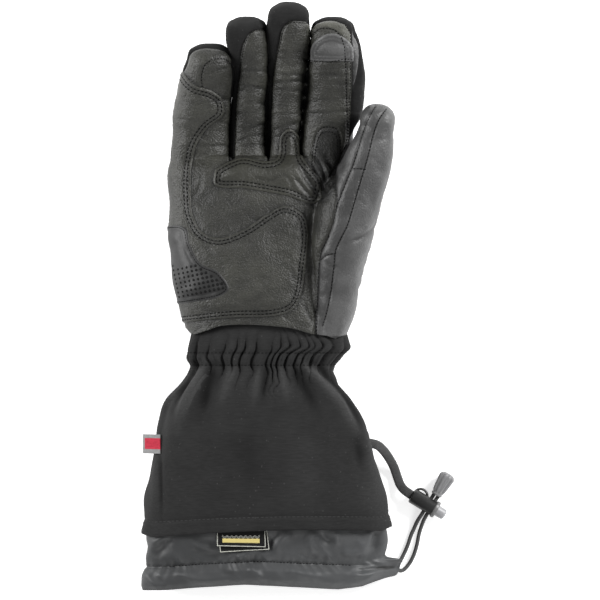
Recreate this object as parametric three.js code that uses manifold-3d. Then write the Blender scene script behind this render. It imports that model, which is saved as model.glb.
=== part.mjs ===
// A padded leather winter glove for the right hand, with a long gathered gauntlet.
// It lies on the back of its hand: X across the palm with the thumb at +X, Y towards the
// fingertips, Z up out of the palm. The origin is on the surface below the glove's middle.
// Lengths are in millimetres.
import * as THREE from 'three';
import { mergeVertices } from 'three/addons/utils/BufferGeometryUtils.js';
import Module from 'manifold-3d';

const wasm = await Module();
wasm.setup();

// Lengths along the glove
const palmLength = 107;
const gauntletLength = 128;
const cuffShow = 35.5;
const wristY = -20;

// The palm
const palmWidth = 111.5;
const palmThick = 43;
const palmCentre = -4.7;

// Walls, layers and gaps
const handWall = 3;
const gauntletWall = 2;
const cuffWall = 1.2;
const patchThick = 1;
const pieceGap = 0.3;
const tuckGap = 1.2;
const cuffGap = 0.8;

// Fingers: sizes, and rows from the root with their places and widths as shares
const fingerRootHeight = 17;
const fingerCurl = 26;
const fingerBend = 1.8;
const fingers = {
  little: {
    length: 70.5,
    width: 31,
    thick: 25,
    rootX: -42.5,
    leather: { rootLeft: -0.9, tipLeft: -0.9, rootRight: 0.53, tipRight: 0.9, end: 1.2 },
    rows: [
      { along: -0.22, shift: 0.01, width: 1.05, thick: 1 },
      { along: 0, shift: 0, width: 1.12, thick: 1 },
      { along: 0.36, shift: 0.055, width: 1.03, thick: 1 },
      { along: 0.71, shift: 0.155, width: 0.965, thick: 0.98 },
      { along: 0.84, shift: 0.21, width: 0.895, thick: 0.92 },
    ],
  },
  ring: {
    length: 87,
    width: 24.5,
    thick: 25,
    rootX: -12.2,
    leather: { rootLeft: -0.35, tipLeft: -0.15, rootRight: 0.5, tipRight: 0.6, end: 0.94 },
    rows: [
      { along: -0.22, shift: 0, width: 0.92, thick: 0.98 },
      { along: 0, shift: 0, width: 0.94, thick: 1 },
      { along: 0.45, shift: 0.03, width: 0.91, thick: 1 },
      { along: 0.8, shift: 0.01, width: 1, thick: 1 },
      { along: 0.9, shift: 0, width: 0.98, thick: 0.9 },
    ],
  },
  middle: {
    length: 95,
    width: 25.5,
    thick: 26,
    rootX: 11.1,
    leather: { rootLeft: -0.41, tipLeft: -0.12, rootRight: 0.46, tipRight: 0.6, end: 0.9 },
    rows: [
      { along: -0.22, shift: 0, width: 0.83, thick: 0.97 },
      { along: 0, shift: 0, width: 0.83, thick: 1 },
      { along: 0.4, shift: 0.015, width: 0.86, thick: 1 },
      { along: 0.66, shift: 0.065, width: 0.925, thick: 1 },
      { along: 0.82, shift: 0.115, width: 1, thick: 1 },
      { along: 0.91, shift: 0.115, width: 0.945, thick: 0.88 },
    ],
  },
  index: {
    length: 87,
    width: 33,
    thick: 28,
    rootX: 38.1,
    leather: { rootLeft: -0.5, tipLeft: -0.6, rootRight: 0.41, tipRight: 0.36, end: 0.94 },
    rows: [
      { along: -0.22, shift: -0.02, width: 0.84, thick: 0.96 },
      { along: 0, shift: -0.02, width: 0.86, thick: 1 },
      { along: 0.29, shift: 0.08, width: 0.985, thick: 1 },
      { along: 0.6, shift: 0.14, width: 1.05, thick: 1 },
      { along: 0.81, shift: 0.115, width: 0.935, thick: 0.97 },
      { along: 0.9, shift: 0.1, width: 0.81, thick: 0.85 },
    ],
  },
};

// The thumb starts inside the heel of the palm and leans out over its edge
const thumb = {
  length: 143.6,
  width: 38,
  thick: 46,
  rootX: 41.6,
  rootHeight: 22,
  rise: 24.5,
  bend: 1.15,
  baseDrop: 2.9,
  rows: [
    { along: 0, shift: -0.02, width: 0.465, thick: 0.61 },
    { along: 0.154, shift: 0, width: 0.77, thick: 0.87 },
    { along: 0.33, shift: 0.085, width: 0.87, thick: 0.98 },
    { along: 0.47, shift: 0.175, width: 1.01, thick: 1 },
    { along: 0.59, shift: 0.28, width: 1.06, thick: 0.935 },
    { along: 0.72, shift: 0.49, width: 0.885, thick: 0.78 },
    { along: 0.83, shift: 0.63, width: 0.72, thick: 0.65 },
    { along: 0.92, shift: 0.735, width: 0.545, thick: 0.54 },
  ],
};

// Palm rows from below the wrist to the finger roots: along is a share of palmLength, left
// and right of half palmWidth, low and high of palmThick. A low below 0 lies flat on the
// surface.
const palmRows = [
  { along: -0.2, left: 0.79, right: 0.92, low: 0.03, high: 0.97 },
  { along: -0.1, left: 0.8, right: 0.93, low: 0.025, high: 0.97 },
  { along: 0.01, left: 0.83, right: 0.97, low: 0.01, high: 0.975 },
  { along: 0.18, left: 0.895, right: 0.91, low: -0.01, high: 0.99 },
  { along: 0.36, left: 0.95, right: 0.865, low: -0.01, high: 1 },
  { along: 0.53, left: 0.98, right: 0.85, low: -0.01, high: 0.99 },
  { along: 0.71, left: 0.995, right: 0.885, low: -0.01, high: 0.95 },
  { along: 0.86, left: 1.01, right: 0.94, low: 0.01, high: 0.9 },
  { along: 0.97, left: 1, right: 0.985, low: 0.03, high: 0.84 },
  { along: 1.02, left: 0.97, right: 0.95, low: 0.1, high: 0.74 },
];
const palmSides = 24;
const limbSides = 12;
const hollowSides = 8;
const topShape = 2.5;
const baseShape = 3;

// Seam lines on the palm: shares of half palmWidth from the palm's centre, and of palmLength
const sideSeam = [
  [-0.83, 1.52], [-0.72, 1.445], [-0.54, 1.41], [-0.42, 1.36], [-0.42, 1.27], [-0.59, 1.19],
  [-0.71, 1.09], [-0.76, 0.945], [-0.77, 0.83], [-0.74, 0.68], [-0.63, 0.58], [-0.45, 0.545],
  [-0.16, 0.6], [0.1, 0.69], [0.29, 0.735], [0.5, 0.68], [0.55, 0.59], [0.52, 0.4],
  [0.47, 0.21], [0.37, 0.125], [0.17, 0.09], [-0.33, 0.08], [-0.85, 0.05],
];
const knucklePatchEdge = [
  [-0.5, 0.945], [-0.39, 0.975], [-0.19, 1.01], [0.06, 0.99], [0.2, 1.01], [0.24, 1.15],
  [0.34, 1.19], [0.45, 1.14], [0.49, 1.015], [0.7, 0.88], [0.63, 0.75], [0.29, 0.795],
  [-0.16, 0.835], [-0.5, 0.855],
];
const heelPatchEdge = [
  [-0.88, 0.625], [-0.8, 0.6], [-0.76, 0.515], [-0.64, 0.4], [-0.45, 0.35], [-0.33, 0.25],
  [-0.42, 0.205], [-0.84, 0.16],
];
const thumbSeam = [
  [1.27, 1.39], [1.17, 1.27], [1.1, 1.2], [1, 1.1], [0.91, 1.01], [0.845, 0.935],
  [0.845, 0.855], [0.87, 0.77], [0.82, 0.625], [0.75, 0.535], [0.68, 0.455], [0.65, 0.325],
  [0.64, 0.18], [0.63, 0], [0.63, -0.3],
];
const wristEdge = [
  [-1.3, 0.06], [-0.83, 0.02], [-0.75, -0.015], [-0.62, 0], [-0.45, 0.03], [-0.22, 0.04],
  [0.34, 0.02], [0.59, -0.015], [0.83, -0.035], [0.94, -0.095], [1.3, -0.11],
];
const indexTipStart = 0.71;

// Gauntlet rows from the wrist line to the hem: left and right are shares of half hemWidth,
// low and high of hemThick, ruffle and fold of their own depths
const hemWidth = 157;
const hemThick = 45;
const gauntletCentre = -0.3;
const gauntletSides = 56;
const ruffleDepth = 1.5;
const foldDepth = 3.2;
const hemSlant = 2.6;
const hemRoll = 0.6;
const gauntletRows = [
  { along: 0.105, left: 0.63, right: 0.585, low: 0.1, high: 0.87, ruffle: 0.8, fold: 0 },
  { along: 0.183, left: 0.61, right: 0.535, low: 0.13, high: 0.84, ruffle: 1, fold: 0.1 },
  { along: 0.25, left: 0.68, right: 0.565, low: 0.09, high: 0.92, ruffle: 0.75, fold: 0.6 },
  { along: 0.33, left: 0.805, right: 0.67, low: 0.04, high: 0.99, ruffle: 0.3, fold: 1 },
  { along: 0.44, left: 0.87, right: 0.78, low: 0.02, high: 1.02, ruffle: 0.1, fold: 0.85 },
  { along: 0.6, left: 0.9, right: 0.84, low: -0.01, high: 0.99, ruffle: 0, fold: 0.45 },
  { along: 0.7, left: 0.93, right: 0.895, low: -0.01, high: 0.96, ruffle: 0, fold: 0.25 },
  { along: 0.82, left: 0.985, right: 0.96, low: -0.01, high: 0.92, ruffle: 0, fold: 0.1 },
  { along: 0.93, left: 0.985, right: 0.985, low: -0.01, high: 0.88, ruffle: 0, fold: 0 },
  { along: 1, left: 1, right: 1, low: -0.01, high: 0.84, ruffle: 0, fold: 0 },
];
const tuckRows = [-0.09, 0, 0.055];
const hemStart = 0.93;
const cuffStart = 0.7;
const plainRows = [0.183, 0.33, 0.6, 0.7, 0.82, 0.93, 1];
const plainTuck = [-0.09, 0.055];
const plainCuffRows = [0.16, 0.72, 1];

// Soft folds that run down from the gather: around is a share of the way round the section
// from the thumb side over the palm, turn is how far they drift outwards
const flareFolds = [
  { around: 0.05, turn: -0.015, width: 0.02, depth: 1 },
  { around: 0.11, turn: -0.03, width: 0.018, depth: -0.8 },
  { around: 0.17, turn: -0.03, width: 0.02, depth: 0.7 },
  { around: 0.36, turn: 0.03, width: 0.02, depth: -0.7 },
  { around: 0.41, turn: 0.03, width: 0.018, depth: 1 },
  { around: 0.455, turn: 0.02, width: 0.018, depth: -0.8 },
  { around: 0.62, turn: 0, width: 0.02, depth: -0.6 },
  { around: 0.86, turn: 0, width: 0.02, depth: -0.6 },
];

// Inner cuff below the hem: along is a share of cuffShow, the rest as for the gauntlet
const cuffSides = 40;
const labelRoom = 3.8;
const cuffRows = [
  { along: 0.16, left: 0.95, right: 0.965, low: 0.05, high: 0.7 },
  { along: 0.4, left: 0.975, right: 0.955, low: 0.02, high: 0.665 },
  { along: 0.55, left: 0.97, right: 0.945, low: 0.01, high: 0.63 },
  { along: 0.72, left: 1.0, right: 1.04, low: -0.01, high: 0.65 },
  { along: 1, left: 1.015, right: 0.985, low: -0.01, high: 0.6 },
];
const cornerRise = 8;

// Trim
const labelWidth = 31.5;
const labelThick = 0.6;
const labelTuck = 6;
const labelShow = 8.5;
const labelStep = 3.5;
const labelCentre = -16;
const labelSlope = 0.19;
const labelDrop = 1.2;
const tagLength = 12;
const tagShow = 8;
const tagThick = 1.2;
const tagAlong = 0.56;
const tagHeight = 21;

// Cord lock: its own X runs along the barrel towards the button
const cordDiameter = 2.6;
const braidWidth = 6;
const braidThick = 3;
const braidTurn = 0.34;
const lockX = 99.2;
const lockY = -128.8;
const lockTurn = -0.547;
const barrelRadius = 4.9;
const barrelBack = 8.5;
const barrelFront = 7.9;
const collarRadius = 5.6;
const collarLength = 2.2;
const buttonRadius = 3.5;
const buttonShow = 6.1;
const buttonTravel = 2.2;
const boreGap = 0.3;
const buttonBack = 1.2;
const cordHoleCentre = 4.6;
const cordClearance = 0.3;
const braidSocket = 3;
const eyeRadius = 4.4;
const eyeWire = 0.95;
const eyePlace = -3.6;

// Bell on the ends of the drawcord
const bellLength = 16;
const bellMouth = 3.5;
const bellRadius = 4.8;
const bellRecess = 4;
const bellOut = 8;

const lockHeight = collarRadius;
const crotchY = wristY + palmLength;
const hemY = wristY - gauntletLength;
const reach = 250;

const materials = {
  palm: new THREE.MeshStandardMaterial({ color: '#4a4a46', roughness: 0.5 }),
  patch: new THREE.MeshStandardMaterial({ color: '#4b4c48', roughness: 0.55 }),
  thumb: new THREE.MeshStandardMaterial({ color: '#5b5b5b', roughness: 0.5 }),
  smooth: new THREE.MeshStandardMaterial({ color: '#606060', roughness: 0.5 }),
  woven: new THREE.MeshStandardMaterial({ color: '#333333', roughness: 0.95 }),
  nylon: new THREE.MeshStandardMaterial({ color: '#4a4c4d', roughness: 0.6 }),
  cord: new THREE.MeshStandardMaterial({ color: '#3a3a3a', roughness: 0.8 }),
  plastic: new THREE.MeshStandardMaterial({ color: '#2c2c2e', roughness: 0.4 }),
  button: new THREE.MeshStandardMaterial({ color: '#77787a', roughness: 0.4 }),
  bell: new THREE.MeshStandardMaterial({ color: '#646466', roughness: 0.45 }),
  tag: new THREE.MeshStandardMaterial({ color: '#8b2b35', roughness: 0.8 }),
  label: new THREE.MeshStandardMaterial({ color: '#1d1d1b', roughness: 0.8 }),
};

const glove = new THREE.Group();

function addMesh(name, geometry, material, parent = glove) {
  const mesh = new THREE.Mesh(geometry, material);
  mesh.name = name;
  parent.add(mesh);
  return mesh;
}

function signedVolume(points, faces) {
  let volume = 0;
  for (let face = 0; face < faces.length; face += 3) {
    const [a, b, c] = [points[faces[face]], points[faces[face + 1]], points[faces[face + 2]]];
    volume += a.dot(new THREE.Vector3().crossVectors(b, c)) / 6;
  }
  return volume;
}

// Closed skin over rings of equal point counts. A tube ends in its two poles, and a wall
// runs on from its last ring to its first.
function skin(rings, poles) {
  const sides = rings[0].length;
  const points = rings.flat();
  const faces = [];
  const rows = poles ? rings.length - 1 : rings.length;
  for (let row = 0; row < rows; row += 1) {
    const next = (row + 1) % rings.length;
    for (let side = 0; side < sides; side += 1) {
      const beside = (side + 1) % sides;
      const corner = row * sides + side;
      const opposite = next * sides + beside;
      faces.push(corner, row * sides + beside, opposite);
      faces.push(corner, opposite, next * sides + side);
    }
  }
  if (poles) {
    const start = points.length;
    const lastRow = (rings.length - 1) * sides;
    points.push(poles[0], poles[1]);
    for (let side = 0; side < sides; side += 1) {
      const beside = (side + 1) % sides;
      faces.push(start, beside, side);
      faces.push(start + 1, lastRow + side, lastRow + beside);
    }
  }
  if (signedVolume(points, faces) < 0) {
    faces.reverse();
  }
  const geometry = new THREE.BufferGeometry().setFromPoints(points);
  geometry.setIndex(faces);
  return geometry;
}

function toSolid(geometry) {
  const bare = geometry.clone();
  bare.deleteAttribute('normal');
  bare.deleteAttribute('uv');
  const merged = mergeVertices(bare, 1e-4);
  return new wasm.Manifold(new wasm.Mesh({
    numProp: 3,
    vertProperties: new Float32Array(merged.attributes.position.array),
    triVerts: new Uint32Array(merged.index.array),
  }));
}

function toGeometry(solid) {
  const mesh = solid.getMesh();
  const geometry = new THREE.BufferGeometry();
  geometry.setAttribute('position', new THREE.BufferAttribute(mesh.vertProperties, 3));
  geometry.setIndex(new THREE.BufferAttribute(mesh.triVerts, 1));
  return geometry;
}

function joined(solids) {
  return solids.reduce((whole, solid) => whole.add(solid));
}

// The largest body of a cut solid, without the slivers beside it
function mainBody(solid) {
  return solid.decompose().sort((a, b) => b.volume() - a.volume())[0];
}

// Points at equal steps round a rounded-box section, from its +X side over its top
function sectionPoints({ left, right, low, high }, sides) {
  const middle = new THREE.Vector2((left + right) / 2, (low + high) / 2);
  const half = new THREE.Vector2((right - left) / 2, (high - low) / 2);
  const steps = sides * 12;
  const fine = [];
  for (let step = 0; step <= steps; step += 1) {
    const angle = (step / steps) * 2 * Math.PI;
    const power = 2 / (Math.sin(angle) >= 0 ? topShape : baseShape);
    const x = Math.sign(Math.cos(angle)) * Math.abs(Math.cos(angle)) ** power;
    const z = Math.sign(Math.sin(angle)) * Math.abs(Math.sin(angle)) ** power;
    fine.push(new THREE.Vector2(middle.x + half.x * x, middle.y + half.y * z));
  }
  const travelled = [0];
  for (let step = 1; step <= steps; step += 1) {
    travelled.push(travelled[step - 1] + fine[step].distanceTo(fine[step - 1]));
  }
  const points = [];
  let step = 0;
  for (let side = 0; side < sides; side += 1) {
    const target = (travelled[steps] * side) / sides;
    while (travelled[step + 1] < target) {
      step += 1;
    }
    const part = (target - travelled[step]) / (travelled[step + 1] - travelled[step]);
    points.push(fine[step].clone().lerp(fine[step + 1], part));
  }
  return points;
}

// A row between two rows of a table
function rowAt(rows, along) {
  const last = rows.length - 1;
  const upper = Math.max(1, rows.findIndex((row) => row.along >= along));
  const above = along >= rows[last].along ? last : upper;
  const [before, after] = [rows[above - 1], rows[above]];
  const part = THREE.MathUtils.clamp((along - before.along) / (after.along - before.along), 0, 1);
  const row = {};
  for (const key of Object.keys(before)) {
    row[key] = THREE.MathUtils.lerp(before[key], after[key], part);
  }
  return row;
}

function palmSection(along, grow) {
  const row = rowAt(palmRows, along);
  return {
    left: palmCentre - (row.left * palmWidth) / 2 - grow,
    right: palmCentre + (row.right * palmWidth) / 2 + grow,
    low: row.low * palmThick - grow,
    high: row.high * palmThick + grow,
  };
}

function palmForm(grow) {
  const rings = palmRows.map(({ along }, index) => {
    const start = index === 0 && grow < 0 ? grow : 0;
    const end = index === palmRows.length - 1 ? grow : 0;
    const y = wristY + along * palmLength + start + end;
    const section = sectionPoints(palmSection(along, grow), palmSides);
    return section.map((point) => new THREE.Vector3(point.x, y, Math.max(point.y, 0)));
  });
  const poles = [rings[0], rings[rings.length - 1]].map((ring) => {
    const box = new THREE.Box3().setFromPoints(ring);
    return box.getCenter(new THREE.Vector3());
  });
  return toSolid(skin(rings, poles));
}

// A finger or the thumb: rings across a centre line that rises along it, with a round tip
function limbForm(limb, grow, sides = limbSides) {
  const { baseY, length, rootX, rootHeight, rise, bend } = limb;
  const height = (along) => rootHeight + rise * Math.max(0, along) ** bend;
  const slope = (along) => (rise * bend * Math.max(0, along) ** (bend - 1)) / length;
  const ringAt = (row, scale, extra) => {
    const tilt = Math.atan(slope(row.along));
    const halfWidth = ((row.width * limb.width) / 2 + grow) * scale;
    const halfThick = ((row.thick * limb.thick) / 2 + grow) * scale;
    const centre = new THREE.Vector3(
      rootX + row.shift * limb.width,
      baseY + row.along * length + extra * Math.cos(tilt),
      height(row.along) + extra * Math.sin(tilt),
    );
    const box = { left: -halfWidth, right: halfWidth, low: -halfThick, high: halfThick };
    return sectionPoints(box, sides).map((point) => new THREE.Vector3(
      centre.x + point.x,
      centre.y - point.y * Math.sin(tilt),
      centre.z + point.y * Math.cos(tilt),
    ));
  };
  const rings = limb.rows.map((row) => ringAt(row, 1, 0));
  const last = limb.rows[limb.rows.length - 1];
  const domeShape = 2.4;
  for (const part of [0.45, 0.75, 0.93]) {
    const along = THREE.MathUtils.lerp(last.along, 1, part);
    const scale = (1 - part ** domeShape) ** (1 / domeShape);
    rings.push(ringAt({ ...last, along }, scale, grow * part));
  }
  const first = limb.rows[0];
  const root = new THREE.Vector3(
    rootX + first.shift * limb.width,
    baseY + first.along * length,
    height(first.along),
  );
  const tip = new THREE.Vector3(
    rootX + last.shift * limb.width,
    baseY + length + grow * Math.cos(Math.atan(slope(1))),
    height(1) + grow * Math.sin(Math.atan(slope(1))),
  );
  return toSolid(skin(rings, [root, tip]));
}

for (const finger of Object.values(fingers)) {
  Object.assign(finger, {
    baseY: crotchY,
    rootHeight: fingerRootHeight,
    rise: fingerCurl,
    bend: fingerBend,
  });
}
thumb.baseY = wristY - thumb.baseDrop;

function fingersAndPalm(grow, sides) {
  const limbs = Object.values(fingers).map((finger) => limbForm(finger, grow, sides));
  return joined([palmForm(grow), ...limbs]);
}

function handForm(grow, sides) {
  return fingersAndPalm(grow, sides).add(limbForm(thumb, grow, sides));
}

function onPalm([across, along]) {
  return new THREE.Vector2(palmCentre + (across * palmWidth) / 2, wristY + along * palmLength);
}

// An upright block over a plan shape, from a height to well above the glove
function upright(shape, from = -reach) {
  const geometry = new THREE.ExtrudeGeometry(shape, {
    depth: reach - from,
    bevelEnabled: false,
    curveSegments: 2,
  });
  return toSolid(geometry.translate(0, 0, from));
}

// The plan inside a smooth closed line through seam points
function seamPlan(points) {
  const [first, ...others] = points.map(onPalm);
  const shape = new THREE.Shape();
  shape.moveTo(first.x, first.y);
  shape.splineThru(others);
  return shape;
}

// The plan on the thumb's side of its seam, or of a line beside that seam
function thumbPlan(margin) {
  const shape = new THREE.Shape();
  const line = thumbSeam.map(onPalm);
  shape.moveTo(line[0].x - margin, line[0].y + margin);
  for (const point of line.slice(1)) {
    shape.lineTo(point.x - margin, point.y);
  }
  shape.lineTo(reach, line[line.length - 1].y);
  shape.lineTo(reach, line[0].y + margin);
  return shape;
}

// Everything beyond the wrist edge of the leather, down the arm
function beyondWrist() {
  const line = wristEdge.map(onPalm);
  const shape = new THREE.Shape();
  shape.moveTo(line[0].x, -reach);
  shape.lineTo(line[0].x, line[0].y);
  shape.splineThru(line.slice(1));
  shape.lineTo(line[line.length - 1].x, -reach);
  return upright(shape);
}

// The block above a finger's centre line, which parts its front from its back
function aboveFinger(finger, margin) {
  const shape = new THREE.Shape();
  shape.moveTo(-reach, fingerRootHeight - margin);
  for (let step = 0; step <= 8; step += 1) {
    const along = (step / 8) * 1.2;
    const height = fingerRootHeight + fingerCurl * along ** fingerBend;
    shape.lineTo(crotchY + along * finger.length, height - margin);
  }
  shape.lineTo(reach, reach);
  shape.lineTo(-reach, reach);
  const geometry = new THREE.ExtrudeGeometry(shape, { depth: 2 * reach, bevelEnabled: false });
  const turned = new THREE.Matrix4().makeBasis(
    new THREE.Vector3(0, 1, 0),
    new THREE.Vector3(0, 0, 1),
    new THREE.Vector3(1, 0, 0),
  );
  geometry.applyMatrix4(turned);
  return toSolid(geometry.translate(-reach, 0, 0));
}

// The leather on the front of one finger: a strip with a round end
function fingerFront(finger, margin) {
  const { rootLeft, tipLeft, rootRight, tipRight, end } = finger.leather;
  const place = (share) => finger.rootX + share * finger.width;
  const bottom = crotchY - palmLength / 4;
  const top = crotchY + end * finger.length + margin;
  const shoulder = top - finger.width / 2;
  const [left, right] = [place(tipLeft) - margin, place(tipRight) + margin];
  const shape = new THREE.Shape();
  shape.moveTo(place(rootLeft) - margin, bottom);
  shape.lineTo(left, shoulder);
  shape.quadraticCurveTo(left, top, (left + right) / 2, top);
  shape.quadraticCurveTo(right, top, right, shoulder);
  shape.lineTo(place(rootRight) + margin, bottom);
  return upright(shape).intersect(aboveFinger(finger, margin));
}

function frontLeather(margin) {
  const shape = new THREE.Shape();
  shape.moveTo(-reach, -reach);
  shape.lineTo(reach, -reach);
  shape.lineTo(reach, crotchY + margin);
  shape.lineTo(-reach, crotchY + margin);
  const strips = Object.values(fingers).map((finger) => fingerFront(finger, margin));
  return joined([upright(shape, fingerRootHeight - margin), ...strips]);
}

// A layer of leather sewn on over the hand, inside a plan shape and above the side seam
function layer(shape, lift) {
  const sheet = fingersAndPalm(lift + patchThick).subtract(fingersAndPalm(lift));
  const clear = limbForm(thumb, pieceGap);
  const cut = sheet.intersect(upright(shape, fingerRootHeight)).subtract(clear);
  return mainBody(cut.subtract(beyondWrist()));
}

function addHand() {
  const shell = handForm(0).subtract(handForm(-handWall, hollowSides)).subtract(beyondWrist());
  const thumbPart = shell.intersect(upright(thumbPlan(0)));
  const handPart = shell.subtract(upright(thumbPlan(pieceGap)));
  const front = handPart.intersect(frontLeather(0));
  const back = handPart.subtract(frontLeather(pieceGap));
  addMesh('palm_leather', toGeometry(mainBody(front)), materials.palm);
  addMesh('hand_back', toGeometry(mainBody(back.subtract(fingerRoom(0)))), materials.woven);
  addMesh('thumb_leather', toGeometry(mainBody(thumbPart)), materials.thumb);
  const slices = fingerSlices();
  for (const [index, name] of Object.keys(fingers).entries()) {
    const own = back.intersect(fingerRoom(pieceGap)).intersect(slices[index]);
    addMesh(`${name}_back`, toGeometry(mainBody(own)), materials.woven);
  }
}

// The space beyond the end of the palm, where the finger backs are sewn on
function fingerRoom(margin) {
  const start = wristY + palmRows[palmRows.length - 1].along * palmLength + margin;
  const space = new THREE.BoxGeometry(2 * reach, reach, 2 * reach);
  return toSolid(space.translate(0, start + reach / 2, 0));
}

function fingerSide(finger, row, side) {
  return finger.rootX + (row.shift + (side * row.width) / 2) * finger.width;
}

// Upright slices that hold one finger each and part midway between their facing sides
function fingerSlices() {
  const all = Object.values(fingers);
  const edges = [[-reach, -reach]];
  for (let gap = 1; gap < all.length; gap += 1) {
    const [finger, next] = [all[gap - 1], all[gap]];
    const [root, nextRoot] = [finger.rows[1], next.rows[1]];
    const [tip, nextTip] = [finger.rows[finger.rows.length - 1], next.rows[next.rows.length - 1]];
    edges.push([
      (fingerSide(finger, root, 1) + fingerSide(next, nextRoot, -1)) / 2,
      (fingerSide(finger, tip, 1) + fingerSide(next, nextTip, -1)) / 2,
    ]);
  }
  edges.push([reach, reach]);
  const tipY = crotchY + Math.max(...all.map((finger) => finger.length));
  return all.map((finger, index) => {
    const [left, right] = [edges[index], edges[index + 1]];
    const shape = new THREE.Shape();
    shape.moveTo(left[0] + pieceGap / 2, crotchY);
    shape.lineTo(left[1] + pieceGap / 2, tipY);
    shape.lineTo(left[1] + pieceGap / 2, reach);
    shape.lineTo(right[1] - pieceGap / 2, reach);
    shape.lineTo(right[1] - pieceGap / 2, tipY);
    shape.lineTo(right[0] - pieceGap / 2, crotchY);
    return upright(shape);
  });
}

// The side panel runs past the outer edge of the palm, where the hand's own side ends it
function sidePlan() {
  const shape = seamPlan(sideSeam);
  const outer = palmCentre - palmWidth;
  shape.lineTo(outer, onPalm(sideSeam[sideSeam.length - 1]).y);
  shape.lineTo(outer, onPalm(sideSeam[0]).y);
  return shape;
}

function indexTipPlan() {
  const { index } = fingers;
  const half = index.width * 0.5;
  const centre = index.rootX + index.width * 0.08;
  const bottom = crotchY + indexTipStart * index.length;
  const top = crotchY + index.length * index.leather.end;
  const shape = new THREE.Shape();
  shape.moveTo(centre - half, bottom);
  shape.lineTo(centre - half, top - half);
  shape.absarc(centre, top - half, half, Math.PI, 0, true);
  shape.lineTo(centre + half, bottom);
  return shape;
}

function addPatches() {
  const second = 2 * pieceGap + patchThick;
  const { index } = fingers;
  const under = 1.3 * pieceGap;
  const tipSheet = limbForm(index, under + patchThick).subtract(limbForm(index, under));
  const tip = tipSheet.intersect(upright(indexTipPlan())).intersect(aboveFinger(index, 0));
  addMesh('side_panel', toGeometry(layer(sidePlan(), pieceGap)), materials.palm);
  addMesh('knuckle_patch', toGeometry(layer(seamPlan(knucklePatchEdge), pieceGap)), materials.patch);
  addMesh('heel_patch', toGeometry(layer(seamPlan(heelPatchEdge), second)), materials.smooth);
  addMesh('index_tip', toGeometry(mainBody(tip)), materials.thumb);
}

function gauntletSection(along) {
  const row = rowAt(gauntletRows, along);
  return {
    left: gauntletCentre - (row.left * hemWidth) / 2,
    right: gauntletCentre + (row.right * hemWidth) / 2,
    low: row.low * hemThick,
    high: row.high * hemThick,
  };
}

function foldAt(around, along) {
  let depth = 0;
  for (const fold of flareFolds) {
    const offset = around - fold.around - fold.turn * along;
    depth += fold.depth * Math.exp(-((offset / fold.width) ** 2));
  }
  return depth;
}

function shrunk({ left, right, low, high }, inset) {
  return { left: left + inset, right: right - inset, low: low + inset, high: high - inset };
}

// One ring of the gauntlet: its section, moved in by inset, then in and out with its ruffles
function gauntletRing(along, sides, inset, section = gauntletSection(along)) {
  const row = rowAt(gauntletRows, along);
  const ruffled = along < gauntletRows[0].along ? 0 : row.ruffle;
  const points = sectionPoints(shrunk(section, inset), sides);
  return points.map((point, side) => {
    const ahead = points[(side + 1) % sides];
    const behind = points[(side + sides - 1) % sides];
    const outward = new THREE.Vector2(ahead.y - behind.y, behind.x - ahead.x).normalize();
    const ruffle = ruffleDepth * ruffled * (side % 2 ? 1 : -1);
    const fold = foldDepth * row.fold * foldAt(side / sides, along);
    const moved = point.clone().addScaledVector(outward, ruffle + fold);
    const across = (moved.x - gauntletCentre) / (hemWidth / 2);
    const y = wristY - along * gauntletLength + hemSlant * across * along ** 2;
    return new THREE.Vector3(moved.x, y, Math.max(moved.y, 0));
  });
}

function tuckRing(along, inset) {
  const palmAlong = (-along * gauntletLength) / palmLength;
  const section = palmSection(palmAlong, -handWall - tuckGap);
  return gauntletRing(along, gauntletSides, inset, section);
}

function addGauntlet() {
  const rollAt = (along) => (along > hemStart ? hemRoll : 0);
  const alongs = gauntletRows.map((row) => row.along);
  const outer = [
    ...tuckRows.map((along) => tuckRing(along, 0)),
    ...alongs.map((along) => gauntletRing(along, gauntletSides, -rollAt(along))),
  ];
  const inner = [
    ...plainTuck.map((along) => tuckRing(along, gauntletWall)),
    ...plainRows.map((along) => gauntletRing(along, gauntletSides, gauntletWall)),
  ];
  addMesh('gauntlet', skin([...outer, ...inner.reverse()]), materials.woven);
}

// One ring of the inner cuff below the hem, with its thumb-side corner drawn up
function cuffRing(along, inset) {
  const row = rowAt(cuffRows, along);
  const section = {
    left: gauntletCentre - (row.left * hemWidth) / 2,
    right: gauntletCentre + (row.right * hemWidth) / 2,
    low: row.low * hemThick,
    high: row.high * hemThick,
  };
  return sectionPoints(shrunk(section, inset), cuffSides).map((point) => {
    const across = (point.x - gauntletCentre) / (hemWidth / 2);
    const corner = THREE.MathUtils.smoothstep(across, 0.6, 1.05) * along;
    const y = hemY - along * cuffShow + cornerRise * corner + hemSlant * across * (1 - along);
    return new THREE.Vector3(point.x, y, Math.max(point.y, 0));
  });
}

// The hidden part of the cuff follows the gauntlet, and leaves room for the labels above it
function hiddenCuffRing(along, inset) {
  const section = gauntletSection(along);
  const room = labelRoom * THREE.MathUtils.smoothstep(along, 0.75, 1);
  section.high -= room;
  section.left += room / 2;
  section.right -= room / 2;
  return gauntletRing(along, cuffSides, gauntletWall + cuffGap + inset, section);
}

function addInnerCuff() {
  const hidden = gauntletRows.map((row) => row.along).filter((along) => along >= cuffStart);
  const shown = cuffRows.map((row) => row.along);
  const outer = [
    ...hidden.map((along) => hiddenCuffRing(along, 0)),
    ...shown.map((along) => cuffRing(along, 0)),
  ];
  const inner = [
    ...[hidden[0], 1].map((along) => hiddenCuffRing(along, cuffWall)),
    ...plainCuffRows.map((along) => cuffRing(along, cuffWall)),
  ];
  addMesh('inner_cuff', skin([...outer, ...inner.reverse()]), materials.nylon);
}

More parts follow.
